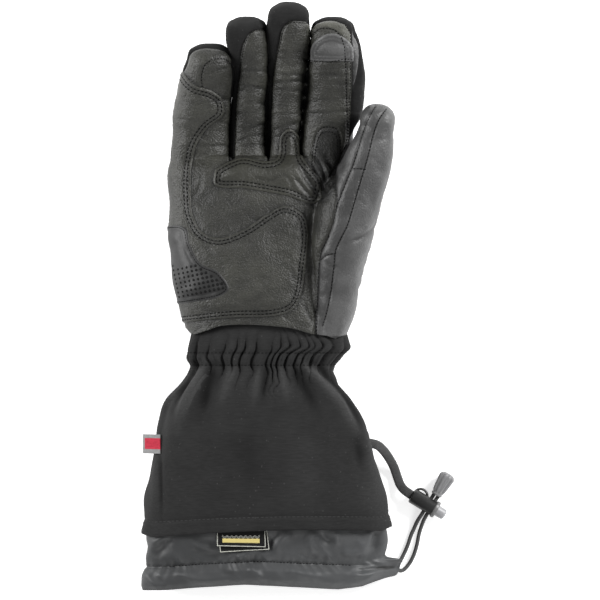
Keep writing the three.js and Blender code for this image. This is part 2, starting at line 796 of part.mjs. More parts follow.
// Two labels hang side over side from under the hem, in the room left above the cuff
function addLabels() {
  const innerTop = gauntletSection(1).high - gauntletWall;
  const holder = new THREE.Group();
  holder.position.set(labelCentre, hemY, innerTop);
  holder.rotation.x = labelSlope;
  glove.add(holder);
  const labels = [
    { name: 'label_front', show: labelShow, below: labelDrop },
    { name: 'label_back', show: labelShow + labelStep, below: labelDrop + pieceGap + labelThick },
  ];
  for (const { name, show, below } of labels) {
    const plate = new THREE.BoxGeometry(labelWidth, show + labelTuck, labelThick);
    const label = addMesh(name, plate, materials.label, holder);
    label.position.set(0, (labelTuck - show) / 2, -below - labelThick / 2);
  }
}

// A folded tag stands out of the little-finger side seam
function addSideTag() {
  const seam = gauntletSection(tagAlong + tagLength / (2 * gauntletLength)).left - pieceGap;
  const tag = addMesh('side_tag', new THREE.BoxGeometry(tagShow, tagLength, tagThick), materials.tag);
  tag.position.set(seam - tagShow / 2, wristY - tagAlong * gauntletLength, tagHeight);
}

function roundSection() {
  const shape = new THREE.Shape();
  return shape.absarc(0, 0, cordDiameter / 2, 0, 2 * Math.PI);
}

function braidSection() {
  const shape = new THREE.Shape();
  return shape.absellipse(0, 0, braidThick / 2, braidWidth / 2, 0, 2 * Math.PI, false, braidTurn);
}

function addCord(name, route, section, steps) {
  const path = new THREE.CatmullRomCurve3(route.map((point) => new THREE.Vector3(...point)));
  const geometry = new THREE.ExtrudeGeometry(section, {
    steps,
    extrudePath: path,
    curveSegments: 4,
  });
  addMesh(name, geometry, materials.cord);
}

// A point of the lock's own frame, in the glove's frame
function onLock(along, beside) {
  const point = new THREE.Vector2(along, beside).rotateAround(new THREE.Vector2(), lockTurn);
  return [lockX + point.x, lockY + point.y, lockHeight];
}

// Routes of the three cords from where they leave the glove, over the surface, to the lock
function addCords() {
  const spacing = (cordDiameter + cordClearance) / 2;
  const [left, right] = [cordHoleCentre - spacing, cordHoleCentre + spacing];
  const bellStart = bellOut + bellRecess - pieceGap;
  addCord('tether_cord', [
    [66.4, -91, 19], [70, -92.2, 17.8], [74, -96, 12.5], [77.5, -101, 7], [80.5, -106.5, 3.6],
    [82.6, -112.5, 2.2], [84.6, -117.8, 3.2], [87, -121, 5],
    onLock(-barrelBack - 1.8, 0), onLock(-barrelBack + braidSocket - pieceGap, 0),
  ], braidSection(), 14);
  addCord('drawcord_a', [
    [82, -168.2, 6], [84.4, -166.4, 3.6], [87, -162, 1.6], [89.4, -156.5, 1.4],
    [91.6, -150, 1.4], [93.6, -145.4, 1.7], [95.4, -141.2, 3.2], onLock(left, -7),
    onLock(left, 0), onLock(left, bellOut), onLock(left, bellStart),
  ], roundSection(), 18);
  addCord('drawcord_b', [
    [82.6, -171.8, 6], [86, -172.4, 3.4], [90, -168.8, 1.6], [93, -163.4, 1.4],
    [95.2, -156.6, 1.4], [96.6, -149.6, 1.5], [98, -144.6, 2.8], onLock(right, -8.4),
    onLock(right, 0), onLock(right, bellOut), onLock(right, bellStart),
  ], roundSection(), 18);
}

function rod(radius, from, to, sides = 16) {
  const geometry = new THREE.CylinderGeometry(radius, radius, to - from, sides);
  return toSolid(geometry.rotateZ(-Math.PI / 2).translate((from + to) / 2, 0, 0));
}

function block(from, to, width, height) {
  const geometry = new THREE.BoxGeometry(to - from, width, height);
  return toSolid(geometry.translate((from + to) / 2, 0, 0));
}

function addCordLock() {
  const lock = new THREE.Group();
  lock.position.set(lockX, lockY, lockHeight);
  lock.rotation.z = lockTurn;
  glove.add(lock);
  const hole = cordDiameter + cordClearance;
  const [holeStart, holeEnd] = [cordHoleCentre - hole, cordHoleCentre + hole];
  const collarEnd = barrelFront + collarLength;
  const eye = toSolid(new THREE.TorusGeometry(eyeRadius, eyeWire, 6, 16));
  const barrel = rod(barrelRadius, -barrelBack, barrelFront)
    .add(rod(collarRadius, barrelFront - pieceGap, collarEnd))
    .add(eye.translate([eyePlace, barrelRadius / 2, 0]))
    .subtract(rod(buttonRadius + boreGap, -buttonBack - buttonTravel - boreGap, reach))
    .subtract(block(holeStart, holeEnd, reach, hole + cordClearance))
    .subtract(block(
      -reach,
      braidSocket - barrelBack,
      braidWidth + 2 * cordClearance,
      braidThick + 2 * cordClearance,
    ));
  addMesh('lock_barrel', toGeometry(mainBody(barrel)), materials.plastic, lock);
  const headEnd = collarEnd + buttonShow;
  const button = rod(buttonRadius, -buttonBack, headEnd - buttonRadius / 2)
    .add(rod(buttonRadius * 0.8, 0, headEnd))
    .subtract(block(holeStart, holeEnd + buttonTravel, reach, hole + cordClearance));
  addMesh('lock_button', toGeometry(mainBody(button)), materials.button, lock);
  const bell = addMesh('cord_end', bellGeometry(), materials.bell, lock);
  bell.position.set(cordHoleCentre, bellOut, 0);
}

// A bell turned about its own length, with a round recess in its mouth for the two strands
function bellGeometry() {
  const profile = [
    [0, bellRecess], [bellMouth - 0.6, bellRecess], [bellMouth - 0.6, 0], [bellMouth, 0],
    [bellMouth + 0.5, bellLength * 0.3], [bellRadius, bellLength * 0.8],
    [bellRadius - 0.6, bellLength * 0.95], [bellRadius - 1.8, bellLength], [0, bellLength],
  ];
  return new THREE.LatheGeometry(profile.map((point) => new THREE.Vector2(...point)), 16);
}

addHand();
addPatches();
addGauntlet();
addInnerCuff();
addLabels();
addSideTag();
addCords();
addCordLock();

export default glove;
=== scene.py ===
import math

import bpy
import numpy as np
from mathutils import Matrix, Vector
from mathutils.bvhtree import BVHTree


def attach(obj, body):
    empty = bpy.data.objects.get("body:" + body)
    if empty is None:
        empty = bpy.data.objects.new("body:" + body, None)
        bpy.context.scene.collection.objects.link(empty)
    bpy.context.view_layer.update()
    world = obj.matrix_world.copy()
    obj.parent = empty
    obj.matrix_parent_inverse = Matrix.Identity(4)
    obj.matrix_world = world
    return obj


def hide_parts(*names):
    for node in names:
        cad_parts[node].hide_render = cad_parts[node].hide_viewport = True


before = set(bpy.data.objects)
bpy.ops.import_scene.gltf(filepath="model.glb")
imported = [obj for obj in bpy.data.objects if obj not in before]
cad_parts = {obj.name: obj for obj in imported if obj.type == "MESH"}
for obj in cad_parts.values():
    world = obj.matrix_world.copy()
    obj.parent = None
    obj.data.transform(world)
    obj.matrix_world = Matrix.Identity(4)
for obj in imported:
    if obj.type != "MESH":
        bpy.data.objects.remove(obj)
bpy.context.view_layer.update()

# Camera: straight above the glove that lies on the back of its hand, with the fingers at the
# top of the picture. A long lens keeps the near and the far parts of the glove at one scale.
picture_width = 0.378
picture_centre = (0.0208, -0.0003)
glove_middle = 0.025
lens_length, sensor_width = 200, 36
camera_data = bpy.data.cameras.new("photo_camera")
camera_data.lens, camera_data.sensor_width = lens_length, sensor_width
camera_data.clip_start, camera_data.clip_end = 0.1, 20
camera = bpy.data.objects.new("photo_camera", camera_data)
bpy.context.collection.objects.link(camera)
camera.location = (*picture_centre, glove_middle + picture_width * lens_length / sensor_width)
bpy.context.scene.camera = camera


def metres(points):
    """Points given in millimetres, in metres."""
    return np.array(points, float) / 1000


def colour(level, tint=(0, 0, 0)):
    """A linear colour from a grey level and a small tint, both as 0 to 255 picture values."""
    shown = (np.array([level, level, level]) + tint) / 255
    linear = np.where(shown <= 0.04045, shown / 12.92, ((shown + 0.055) / 1.055) ** 2.4)
    return (*linear, 1)


def add_node(tree, kind, inputs=None, **settings):
    made = tree.nodes.new(kind)
    for key, value in settings.items():
        setattr(made, key, value)
    for key, value in (inputs or {}).items():
        made.inputs[key].default_value = value
    return made


def new_material(name, base, roughness, **shader_inputs):
    """A material whose shader has one colour and roughness so far, with its tree and shader."""
    made = bpy.data.materials.new(name)
    made.use_nodes = True
    shader = made.node_tree.nodes["Principled BSDF"]
    shader.inputs["Base Color"].default_value = base
    shader.inputs["Roughness"].default_value = roughness
    for key, value in shader_inputs.items():
        shader.inputs[key.replace("_", " ")].default_value = value
    return made, made.node_tree, shader


def new_piece(name, points, faces, material=None, smooth=True):
    """A mesh object at the origin, from points in metres and faces of point numbers."""
    mesh = bpy.data.meshes.new(name)
    mesh.from_pydata(np.asarray(points).tolist(), [], [list(map(int, face)) for face in faces])
    mesh.validate()
    mesh.polygons.foreach_set("use_smooth", [smooth] * len(mesh.polygons))
    piece = bpy.data.objects.new(name, mesh)
    bpy.context.collection.objects.link(piece)
    if material:
        mesh.materials.append(material)
    return piece


# Studio: a pale glowing table, one wide soft box over the finger end on the thumb side, weaker
# ones across from it and below the cuff, all low enough to graze the leather, in a dim room.
floor_colour, floor_glow, floor_half, floor_level = colour(243), 0.6, 3, -0.0003
room_glow = 0.34
floor_material, _, floor_shader = new_material("studio_floor", floor_colour, 0.9)
floor_shader.inputs["Emission Color"].default_value = (1, 1, 1, 1)
floor_shader.inputs["Emission Strength"].default_value = floor_glow
floor = new_piece(
    "studio_floor",
    [(x * floor_half, y * floor_half, floor_level) for x, y in ((-1, -1), (1, -1), (1, 1), (-1, 1))],
    [(0, 1, 2, 3)],
    floor_material,
)


def soft_box(name, place, size, power):
    light = bpy.data.lights.new(name, "AREA")
    light.shape = "SQUARE"
    light.size, light.energy = size, power
    lamp = bpy.data.objects.new(name, light)
    bpy.context.collection.objects.link(lamp)
    lamp.location = place
    lamp.rotation_euler = (-Vector(place)).to_track_quat("-Z", "Y").to_euler()
    return lamp


soft_box("key_light", (1.35, 0.8, 0.95), 0.6, 48)
soft_box("fill_light", (-1.5, 0.4, 0.75), 0.8, 35)
soft_box("low_light", (0.3, -1.7, 0.8), 0.8, 12)
room = bpy.data.worlds.new("studio_room")
bpy.context.scene.world = room
room.use_nodes = True
room.node_tree.nodes["Background"].inputs["Color"].default_value = (1, 1, 1, 1)
room.node_tree.nodes["Background"].inputs["Strength"].default_value = room_glow
bpy.context.scene.view_settings.view_transform = "Standard"

# Cords: a flat braid from the gauntlet's thumb-side seam to the cord lock, and the two round
# strands of the cuff's drawcord, which leave the channel at its corner, pass through the lock
# and end in a bell. All are polyester plaits with a rubber core.
cord_width = 0.0026
braid_size = (0.006, 0.003)
lock_place = metres((99.2, -128.8, 5.6))
lock_turn = -0.547
lock_along = np.array([math.cos(lock_turn), math.sin(lock_turn), 0])
lock_beside = np.array([-math.sin(lock_turn), math.cos(lock_turn), 0])
lock_up = np.array([0, 0, 1.0])


def on_lock(along, beside, up=0):
    """A point of the lock's own frame in millimetres, in the glove's frame."""
    offset = along * lock_along + beside * lock_beside + up * lock_up
    return lock_place * 1000 + offset


def travelled(line):
    """How far along a line of points each of them is."""
    return np.concatenate([[0], np.cumsum(np.linalg.norm(np.diff(line, axis=0), axis=1))])


def smooth_line(points, step=0.001):
    """Points at equal steps along a smooth curve through the given ones."""
    points = np.asarray(points, float)
    ends = [2 * points[0] - points[1], 2 * points[-1] - points[-2]]
    padded = np.concatenate([ends[:1], points, ends[1:]])
    knots = np.sqrt(np.maximum(np.linalg.norm(np.diff(padded, axis=0), axis=1), 1e-9))
    fine = []
    for index in range(len(points) - 1):
        before, start, end, after = padded[index:index + 4]
        gap0, gap1, gap2 = knots[index:index + 3]
        leave = (start - before) / gap0 - (end - before) / (gap0 + gap1) + (end - start) / gap1
        arrive = (end - start) / gap1 - (after - start) / (gap1 + gap2) + (after - end) / gap2
        leave, arrive = leave * gap1, arrive * gap1
        part = np.linspace(0, 1, 24, endpoint=False)[:, None]
        fine.append(
            start + leave * part + (3 * (end - start) - 2 * leave - arrive) * part**2
            + (2 * (start - end) + leave + arrive) * part**3
        )
    fine = np.concatenate([*fine, points[-1:]])
    return spaced(fine, step)


def spaced(line, step):
    """Points at equal steps along a line of points."""
    along = travelled(line)
    places = np.linspace(0, along[-1], max(2, int(round(along[-1] / step)) + 1))
    return np.stack([np.interp(places, along, line[:, axis]) for axis in range(line.shape[1])], 1)


def ring_faces(rings, sides, following=1):
    """Faces between rings of points; without a following ring the last one meets the first."""
    ring, side = np.meshgrid(np.arange(rings - following), np.arange(sides), indexing="ij")
    beyond, beside = (ring + 1) % rings, (side + 1) % sides
    return np.stack([
        ring * sides + side, beyond * sides + side, beyond * sides + beside, ring * sides + beside,
    ], -1).reshape(-1, 4)


def tube_faces(rings, sides):
    """Faces of a tube of rings, and of the fans to the two end points that follow its rings."""
    first, last = rings * sides, (rings - 1) * sides
    fans = [[first, k, (k + 1) % sides] for k in range(sides)]
    fans += [[first + 1, last + (k + 1) % sides, last + k] for k in range(sides)]
    return ring_faces(rings, sides).tolist() + fans


def plait_height(around, along, strands, pitch):
    """Height of a plait, 0 to 1, at a share of the way round and a length along."""
    one, other = around * strands + along / pitch, around * strands - along / pitch
    on_top = (np.floor(one) + np.floor(other)) % 2 == 0
    across, down = np.where(on_top, one % 1, other % 1), np.where(on_top, other % 1, one % 1)
    return np.sqrt(np.sin(np.pi * across)) * (0.55 + 0.45 * np.sin(np.pi * down))


def set_values(piece, name, values):
    attribute = piece.data.attributes.new(name, "FLOAT", "POINT")
    attribute.data.foreach_set("value", np.asarray(values, np.float32))


def plaited_cord(name, route, width, thick, strands, pitch, relief, material):
    """A plaited cord along a route in millimetres, flat side up, and its centre line."""
    step, sides, corner_fullness = 0.0003, 36, 0.72
    line = smooth_line(metres(route), step)
    ahead = np.gradient(line, axis=0)
    ahead /= np.linalg.norm(ahead, axis=1)[:, None]
    beside = np.cross(ahead, (0, 0, 1))
    beside /= np.linalg.norm(beside, axis=1)[:, None]
    above = np.cross(beside, ahead)
    around = np.arange(sides) / sides
    angle = 2 * np.pi * around
    run = np.arange(len(line)) * step
    height = plait_height(around[None, :], run[:, None], strands, pitch)
    flat = 1 if width == thick else corner_fullness
    across = np.sign(np.cos(angle)) * np.abs(np.cos(angle)) ** flat
    up = np.sign(np.sin(angle)) * np.abs(np.sin(angle)) ** flat
    grow = (height - 1) * relief
    points = (
        line[:, None]
        + beside[:, None] * ((width / 2 + grow) * across)[..., None]
        + above[:, None] * ((thick / 2 + grow) * up)[..., None]
    ).reshape(-1, 3)
    points = np.concatenate([points, line[:1], line[-1:]])
    piece = new_piece(name, points, tube_faces(len(line), sides), material)
    set_values(piece, "rise", np.concatenate([height.ravel(), [0, 0]]))
    return piece, line


def shade_by_rise(tree, shader, low, high):
    """Paints shade into a material's colour: a low colour in the plait's hollows, a high one on its crests.
    """
    read = add_node(tree, "ShaderNodeAttribute", attribute_name="rise")
    mix = add_node(tree, "ShaderNodeMix", data_type="RGBA")
    mix.inputs[6].default_value, mix.inputs[7].default_value = low, high
    tree.links.new(read.outputs["Fac"], mix.inputs[0])
    tree.links.new(mix.outputs[2], shader.inputs["Base Color"])


def combined(tree, operation, first, second):
    """The output of a math node on an output and either another output or a number."""
    made = add_node(tree, "ShaderNodeMath", operation=operation)
    tree.links.new(first, made.inputs[0])
    if isinstance(second, (int, float)):
        made.inputs[1].default_value = second
    else:
        tree.links.new(second, made.inputs[1])
    return made.outputs[0]


def ranged(tree, source, low, high, source_low=0, source_high=1):
    """An output whose range is stretched from one pair of limits to another."""
    made = add_node(tree, "ShaderNodeMapRange", {
        "From Min": source_low, "From Max": source_high, "To Min": low, "To Max": high,
    })
    tree.links.new(source, made.inputs["Value"])
    return made.outputs["Result"]


def shade_by_light(tree, shader, base, spread, specks=None):
    """Colours a material by a base colour, an output round 1 and the piece's shade attribute, which carries
    painted shade and painted light besides the piece's own tone.
    """
    shade = add_node(tree, "ShaderNodeAttribute", attribute_name="shade")
    lit = combined(tree, "MULTIPLY", spread, shade.outputs["Fac"])
    if specks:
        lit = combined(tree, "ADD", lit, specks)
    scaled = add_node(tree, "ShaderNodeVectorMath", {0: base[:3]}, operation="SCALE")
    tree.links.new(lit, scaled.inputs["Scale"])
    tree.links.new(scaled.outputs["Vector"], shader.inputs["Base Color"])


def add_bump(tree, shader, heights, strength, distance):
    """Bumps a shader by the sum of weighted height outputs."""
    total = None
    for output, weight in heights:
        scaled = combined(tree, "MULTIPLY", output, weight)
        total = scaled if total is None else combined(tree, "ADD", total, scaled)
    bump = add_node(tree, "ShaderNodeBump", {"Strength": strength, "Distance": distance})
    tree.links.new(total, bump.inputs["Height"])
    tree.links.new(bump.outputs["Normal"], shader.inputs["Normal"])


def object_texture(tree, kind, scale, **settings):
    """A noise or cell texture on the piece's own place in the glove, scale in cells per metre."""
    place = add_node(tree, "ShaderNodeTexCoord")
    texture = add_node(tree, kind, {"Scale": scale}, **settings)
    tree.links.new(place.outputs["Object"], texture.inputs["Vector"])
    return texture


def noise(tree, scale):
    """The output of a noise texture, scale in cells per metre."""
    return object_texture(tree, "ShaderNodeTexNoise", scale).outputs["Fac"]


def cord_material(name, low, high):
    material, tree, shader = new_material(name, high, 0.8, Sheen_Weight=0.15)
    shade_by_rise(tree, shader, low, high)
    fibre = noise(tree, 9000)
    add_bump(tree, shader, [(fibre, 1.0)], 0.5, 0.0001)
    return material


# Each cord's low colour is painted shade in the plait's hollows; its high colour is the strands' own grey.
braid_material = cord_material("plaited_braid", colour(20), colour(66))
drawcord_material = cord_material("plaited_drawcord", colour(24), colour(72))
tether_route = [
    (62, -90.3, 19.4), (66.4, -91, 19), (70, -92.2, 17.8), (74, -96, 12.5), (77.5, -101, 7),
    (80.5, -106.5, 3.6), (82.6, -112.5, 2.2), (84.6, -117.8, 3.2), (87, -121, 5),
    on_lock(-10.3, 0), on_lock(-5.8, 0),
]
drawcord_routes = {
    "drawcord_a": [
        (82, -168.2, 6), (84.4, -166.4, 3.6), (87, -162, 1.6), (89.4, -156.5, 1.4), (91.6, -150, 1.4),
        (93.6, -145.4, 1.7), (95.4, -141.2, 3.2), on_lock(3.15, -7), on_lock(3.15, 0),
        on_lock(3.15, 8), on_lock(3.15, 11.7),
    ],
    "drawcord_b": [
        (82.6, -171.8, 6), (86, -172.4, 3.4), (90, -168.8, 1.6), (93, -163.4, 1.4), (95.2, -156.6, 1.4),
        (96.6, -149.6, 1.5), (98, -144.6, 2.8), on_lock(6.05, -8.4), on_lock(6.05, 0),
        on_lock(6.05, 8), on_lock(6.05, 11.7),
    ],
}
cord_lines = {}
tether, cord_lines["tether_cord"] = plaited_cord(
    "tether_braid", tether_route, *braid_size, 11, 0.0011, 0.00028, braid_material
)
drawcords = {}
for cord_name, route in drawcord_routes.items():
    drawcords[cord_name], cord_lines[cord_name] = plaited_cord(
        cord_name + "_plait", route, cord_width, cord_width, 7, 0.0009, 0.00018, drawcord_material
    )


for cord_piece, node in [(tether, "tether_cord"), *((drawcords[n], n) for n in drawcords)]:
    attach(cord_piece, "glove")
    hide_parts(node)

# Cord lock: a moulded barrel with a flat eye and a round collar, and a grey spring button that
# slides in it across the two strands. The flat braid is clamped in the barrel's other end.
barrel_radius, barrel_back, barrel_front = 0.0049, 0.0085, 0.0079
collar_radius, collar_length = 0.0056, 0.0022
button_radius, button_show, button_back, button_travel = 0.0035, 0.0061, 0.0012, 0.0022
strand_hole = 0.0046
hole_width = cord_width + 0.0003


def in_lock(points):
    """Points of the lock's own frame, in metres, in the glove's frame."""
    points = np.asarray(points)
    return lock_place + points @ np.array([lock_along, lock_beside, lock_up])


def turned(profile, sides=48):
    """Points and faces of a closed solid turned about the first axis, from (along, radius)."""
    angle = 2 * np.pi * np.arange(sides) / sides
    rings = [
        [(along, radius * math.cos(a), radius * math.sin(a)) for a in angle]
        for along, radius in profile
    ]
    points = np.array([point for ring in rings for point in ring])
    ends = [(profile[0][0], 0, 0), (profile[-1][0], 0, 0)]
    return np.concatenate([points, ends]), tube_faces(len(profile), sides)


def lock_box(name, low, high):
    """A box between two corners in the lock's own frame."""
    corners = [(x, y, z) for x in (low[0], high[0]) for y in (low[1], high[1]) for z in (low[2], high[2])]
    faces = [(0, 1, 3, 2), (4, 6, 7, 5), (0, 4, 5, 1), (2, 3, 7, 6), (0, 2, 6, 4), (1, 5, 7, 3)]
    return new_piece(name, in_lock(corners), faces)


def finished(piece):
    """The piece's mesh with its modifiers applied, and the modifiers removed."""
    graph = bpy.context.evaluated_depsgraph_get()
    mesh = bpy.data.meshes.new_from_object(piece.evaluated_get(graph))
    piece.modifiers.clear()
    piece.data = mesh
    return mesh


def shape_by(piece, cutters, operation):
    """Joins pieces to a piece, or cuts them out of it, and removes them."""
    for cutter in cutters:
        change = piece.modifiers.new("shape", "BOOLEAN")
        change.operation, change.object, change.solver = operation, cutter, "EXACT"
        finished(piece)
        bpy.data.objects.remove(cutter)


def soften(piece, width):
    """Rounds the sharp edges of a moulded piece."""
    bevel = piece.modifiers.new("edges", "BEVEL")
    bevel.width, bevel.segments, bevel.limit_method, bevel.angle_limit = width, 2, "ANGLE", 0.6
    finished(piece)


def lock_solid(name, profile):
    points, faces = turned(profile)
    return new_piece(name, in_lock(points), faces)


def plastic(name, base, roughness, **inputs):
    material, tree, shader = new_material(name, base, roughness, **inputs)
    grain = noise(tree, 2600)
    add_bump(tree, shader, [(grain, 1.0)], 0.25, 0.00006)
    worn = noise(tree, 420)
    tree.links.new(ranged(tree, worn, roughness - 0.08, roughness + 0.1), shader.inputs["Roughness"])
    return material


barrel_material = plastic("moulded_barrel", colour(34), 0.36)
# The collar's paler grey is partly its own colour and partly a painted highlight for the shine on its rounded
# glossy rim.
collar_material = plastic("moulded_collar", colour(96), 0.4)
button_material = plastic("moulded_button", colour(138, (2, 2, 4)), 0.38)
collar_end = barrel_front + collar_length
barrel = lock_solid("lock_body", [
    (-barrel_back, 0.0005), (-barrel_back, barrel_radius - 0.0009),
    (-barrel_back + 0.0003, barrel_radius - 0.0003), (-barrel_back + 0.0009, barrel_radius),
    (barrel_front - 0.0008, barrel_radius), (barrel_front - 0.0002, barrel_radius + 0.0002),
    (barrel_front, collar_radius - 0.0002), (barrel_front + 0.0003, collar_radius),
    (collar_end - 0.0005, collar_radius), (collar_end - 0.0001, collar_radius - 0.0002),
    (collar_end, collar_radius - 0.0006), (collar_end, 0.0005),
])
eye_radius, eye_wire, eye_sides, wire_sides = 0.0044, (0.0008, 0.0013), 40, 12
eye_turn, wire_turn = np.meshgrid(
    2 * np.pi * np.arange(eye_sides) / eye_sides, 2 * np.pi * np.arange(wire_sides) / wire_sides,
    indexing="ij",
)
out = eye_radius + eye_wire[0] * np.cos(wire_turn)
eye_points = np.stack([
    -0.0036 + out * np.cos(eye_turn), barrel_radius / 2 + out * np.sin(eye_turn),
    eye_wire[1] * np.sin(wire_turn),
], -1).reshape(-1, 3)
eye = new_piece("lock_eye", in_lock(eye_points), ring_faces(eye_sides, wire_sides, 0))
bore = lock_solid("lock_bore", [(-0.0037, button_radius + 0.0003), (0.02, button_radius + 0.0003)])
hole_half = hole_width / 2 + 0.00015
through = lock_box(
    "lock_hole", (strand_hole - hole_width, -0.02, -hole_half), (strand_hole + hole_width, 0.02, hole_half)
)
socket_half = np.array(braid_size) / 2 + 0.0003
socket = lock_box("lock_socket", (-0.02, *-socket_half), (0.003 - barrel_back, *socket_half))
shape_by(barrel, [eye], "UNION")
shape_by(barrel, [bore, through, socket], "DIFFERENCE")
soften(barrel, 0.00018)
button_end = collar_end + button_show
button = lock_solid("lock_push_button", [
    (-button_back, 0.0005), (-button_back, button_radius - 0.0003), (-button_back + 0.0003, button_radius),
    (button_end - 0.0016, button_radius), (button_end - 0.0009, button_radius - 0.0002),
    (button_end - 0.0003, button_radius - 0.0008), (button_end, button_radius - 0.0018),
    (button_end + 0.0001, 0.0004),
])
button_way = lock_box(
    "button_way", (strand_hole - hole_width, -0.02, -hole_half),
    (strand_hole + hole_width + button_travel, 0.02, hole_half),
)
shape_by(button, [button_way], "DIFFERENCE")
soften(button, 0.00015)
for part, node, body, slot_name, finish in [
    (barrel, "lock_barrel", "glove", "lock_plastic", barrel_material),
    (button, "lock_button", "button", "button_plastic", button_material),
]:
    part.data.materials.clear()
    part.data.materials.append(finish)
    part.data.polygons.foreach_set("use_smooth", [True] * len(part.data.polygons))
    part.data.set_sharp_from_angle(angle=0.5)
    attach(part, body)
    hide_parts(node)
barrel.data.materials.append(collar_material)
for face in barrel.data.polygons:
    along = float((np.array(face.center) - lock_place) @ lock_along)
    face.material_index = int(along > barrel_front - 0.0001)

# Cord bell: a soft ribbed rubber bell that is pressed over the two knotted strand ends.
bell_length, bell_mouth, bell_radius, bell_recess, bell_out = 0.016, 0.0035, 0.0048, 0.004, 0.008
bell_ribs, rib_depth = 10, 0.00035
bell_profile = np.array([
    (bell_recess, 0.0004), (bell_recess, bell_mouth - 0.0006), (0.0002, bell_mouth - 0.0006),
    (0, bell_mouth - 0.0003), (0.0003, bell_mouth), (0.0012, bell_mouth + 0.0001),
    (0.0016, bell_mouth - 0.0002), (0.0022, bell_mouth + 0.0001), (0.0035, bell_mouth + 0.0003),
    (0.006, bell_mouth + 0.0006), (0.009, bell_mouth + 0.0009), (0.012, bell_radius - 0.0001),
    (0.0135, bell_radius), (0.0146, bell_radius - 0.0004), (0.0154, bell_radius - 0.0012),
    (0.0159, bell_radius - 0.0024), (bell_length, 0.0005),
])
bell_sides = 80
bell_turn = 2 * np.pi * np.arange(bell_sides) / bell_sides
rib_start, rib_end, rib_run = 0.002, 0.0156, 0.002
ribbed = np.clip((bell_profile[:, 0] - rib_start) / rib_run, 0, 1)
ribbed *= np.clip((rib_end - bell_profile[:, 0]) / rib_run, 0, 1)
ribbed[:4] = 0
rib = np.clip(np.cos(bell_ribs * bell_turn) * 1.6, -1, 1)
bell_radii = bell_profile[:, 1][:, None] + ribbed[:, None] * rib_depth * rib[None, :]
bell_points = np.stack([
    bell_radii * np.cos(bell_turn), np.broadcast_to(bell_profile[:, 0][:, None], bell_radii.shape),
    bell_radii * np.sin(bell_turn),
], -1).reshape(-1, 3)
bell_points = np.concatenate([bell_points, [(0, bell_recess, 0), (0, bell_length, 0)]])
bell_points += (strand_hole, bell_out, 0)
bell_faces = tube_faces(len(bell_profile), bell_sides)
bell_material, bell_tree, bell_shader = new_material(
    "ribbed_rubber", colour(112, (1, 1, 2)), 0.42, Subsurface_Weight=0.25,
)
bell_shader.inputs["Subsurface Radius"].default_value = (0.002, 0.002, 0.002)
bell_shader.inputs["Subsurface Scale"].default_value = 0.6
add_bump(bell_tree, bell_shader, [(noise(bell_tree, 3000), 1.0)], 0.2, 0.00005)
bell = new_piece("cord_bell", in_lock(bell_points), bell_faces, bell_material)
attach(bell, "glove")
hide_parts("cord_end")

# Hand form: the padded body of the glove that every panel is cut from and sewn round. The
# palm is a flat tube, the fingers curl up from it, and the thumb leans out over its edge.
wrist_y, palm_length, palm_width, palm_thick = -0.020, 0.107, 0.1115, 0.043
palm_centre = -0.0047
crotch_y = wrist_y + palm_length
finger_root_height, finger_curl, finger_bend = 0.017, 0.026, 1.8
top_shape, base_shape = 2.5, 3
even_step = 0.0008
palm_rings, palm_sides, limb_rings, tip_rings, limb_sides, tip_round = 110, 150, 90, 22, 72, 2.4
palm_rows = np.array([  # along, left, right, low, high, as shares of the palm's sizes
    (-0.2, 0.79, 0.92, 0.03, 0.97), (-0.1, 0.8, 0.93, 0.025, 0.97), (0.01, 0.83, 0.97, 0.01, 0.975),
    (0.18, 0.895, 0.91, 0, 0.99), (0.36, 0.95, 0.865, 0, 1), (0.53, 0.98, 0.85, 0, 0.99),
    (0.71, 0.995, 0.885, 0, 0.95), (0.86, 1.01, 0.94, 0.01, 0.9), (0.97, 1, 0.985, 0.03, 0.84),
    (1.02, 0.97, 0.95, 0.1, 0.74),
])
fingers = {  # rows: distance up the glove, left and right side, in millimetres, and fullness
    "little": (70.5, 25, [
        (71, -58, -27, 0.97), (85, -59.5, -25.6, 1), (95, -58.6, -24.9, 1), (107, -57.9, -24.4, 1),
        (121, -56.1, -23.7, 1), (134, -53.3, -22.5, 1), (142, -51.6, -21.6, 0.98), (149, -49, -22, 0.94),
    ]),
    "ring": (88, 25, [
        (68, -22.6, 0, 0.97), (85, -23.2, -0.8, 1), (95, -22.8, -0.8, 1), (107, -22.4, -0.6, 1),
        (121, -21.7, -0.8, 1), (134, -20.6, -0.8, 1), (142, -19.9, -0.1, 1), (150, -20.4, 0.2, 1),
        (156, -22.6, 0, 0.98), (162, -24.2, -0.4, 0.95), (167, -24.4, -0.9, 0.9),
    ]),
    "middle": (97, 26, [
        (66, 1, 21, 0.97), (85, 0.8, 20, 1), (95, 0.8, 20, 1), (112, 1, 21.2, 1), (131, 0.9, 23.1, 1),
        (150, 1.8, 24.8, 1), (160, 1.3, 26, 1), (169, 1.1, 26.2, 0.95), (175, 2, 25.6, 0.88),
    ]),
    "index": (88, 28, [
        (68, 22, 50, 0.96), (85, 21.6, 51.5, 1), (95, 21.4, 53, 1), (102, 21.9, 54.6, 1),
        (112, 22.8, 57, 1), (125, 24.2, 59.7, 1), (136, 25.3, 60.4, 1), (150, 26.6, 59, 0.98),
        (160, 28, 57, 0.94), (166, 28.6, 54.8, 0.88),
    ]),
}
thumb = (143.6, 38, 46, 41.6, 22, 24.5, 1.15, -22.9, [  # along, shift, width, thick as shares
    (0, -0.02, 0.465, 0.61), (0.154, 0, 0.77, 0.87), (0.33, 0.085, 0.87, 0.98), (0.47, 0.175, 1.01, 1),
    (0.59, 0.28, 1.06, 0.935), (0.72, 0.49, 0.885, 0.78), (0.83, 0.63, 0.72, 0.65),
    (0.92, 0.735, 0.545, 0.54),
])


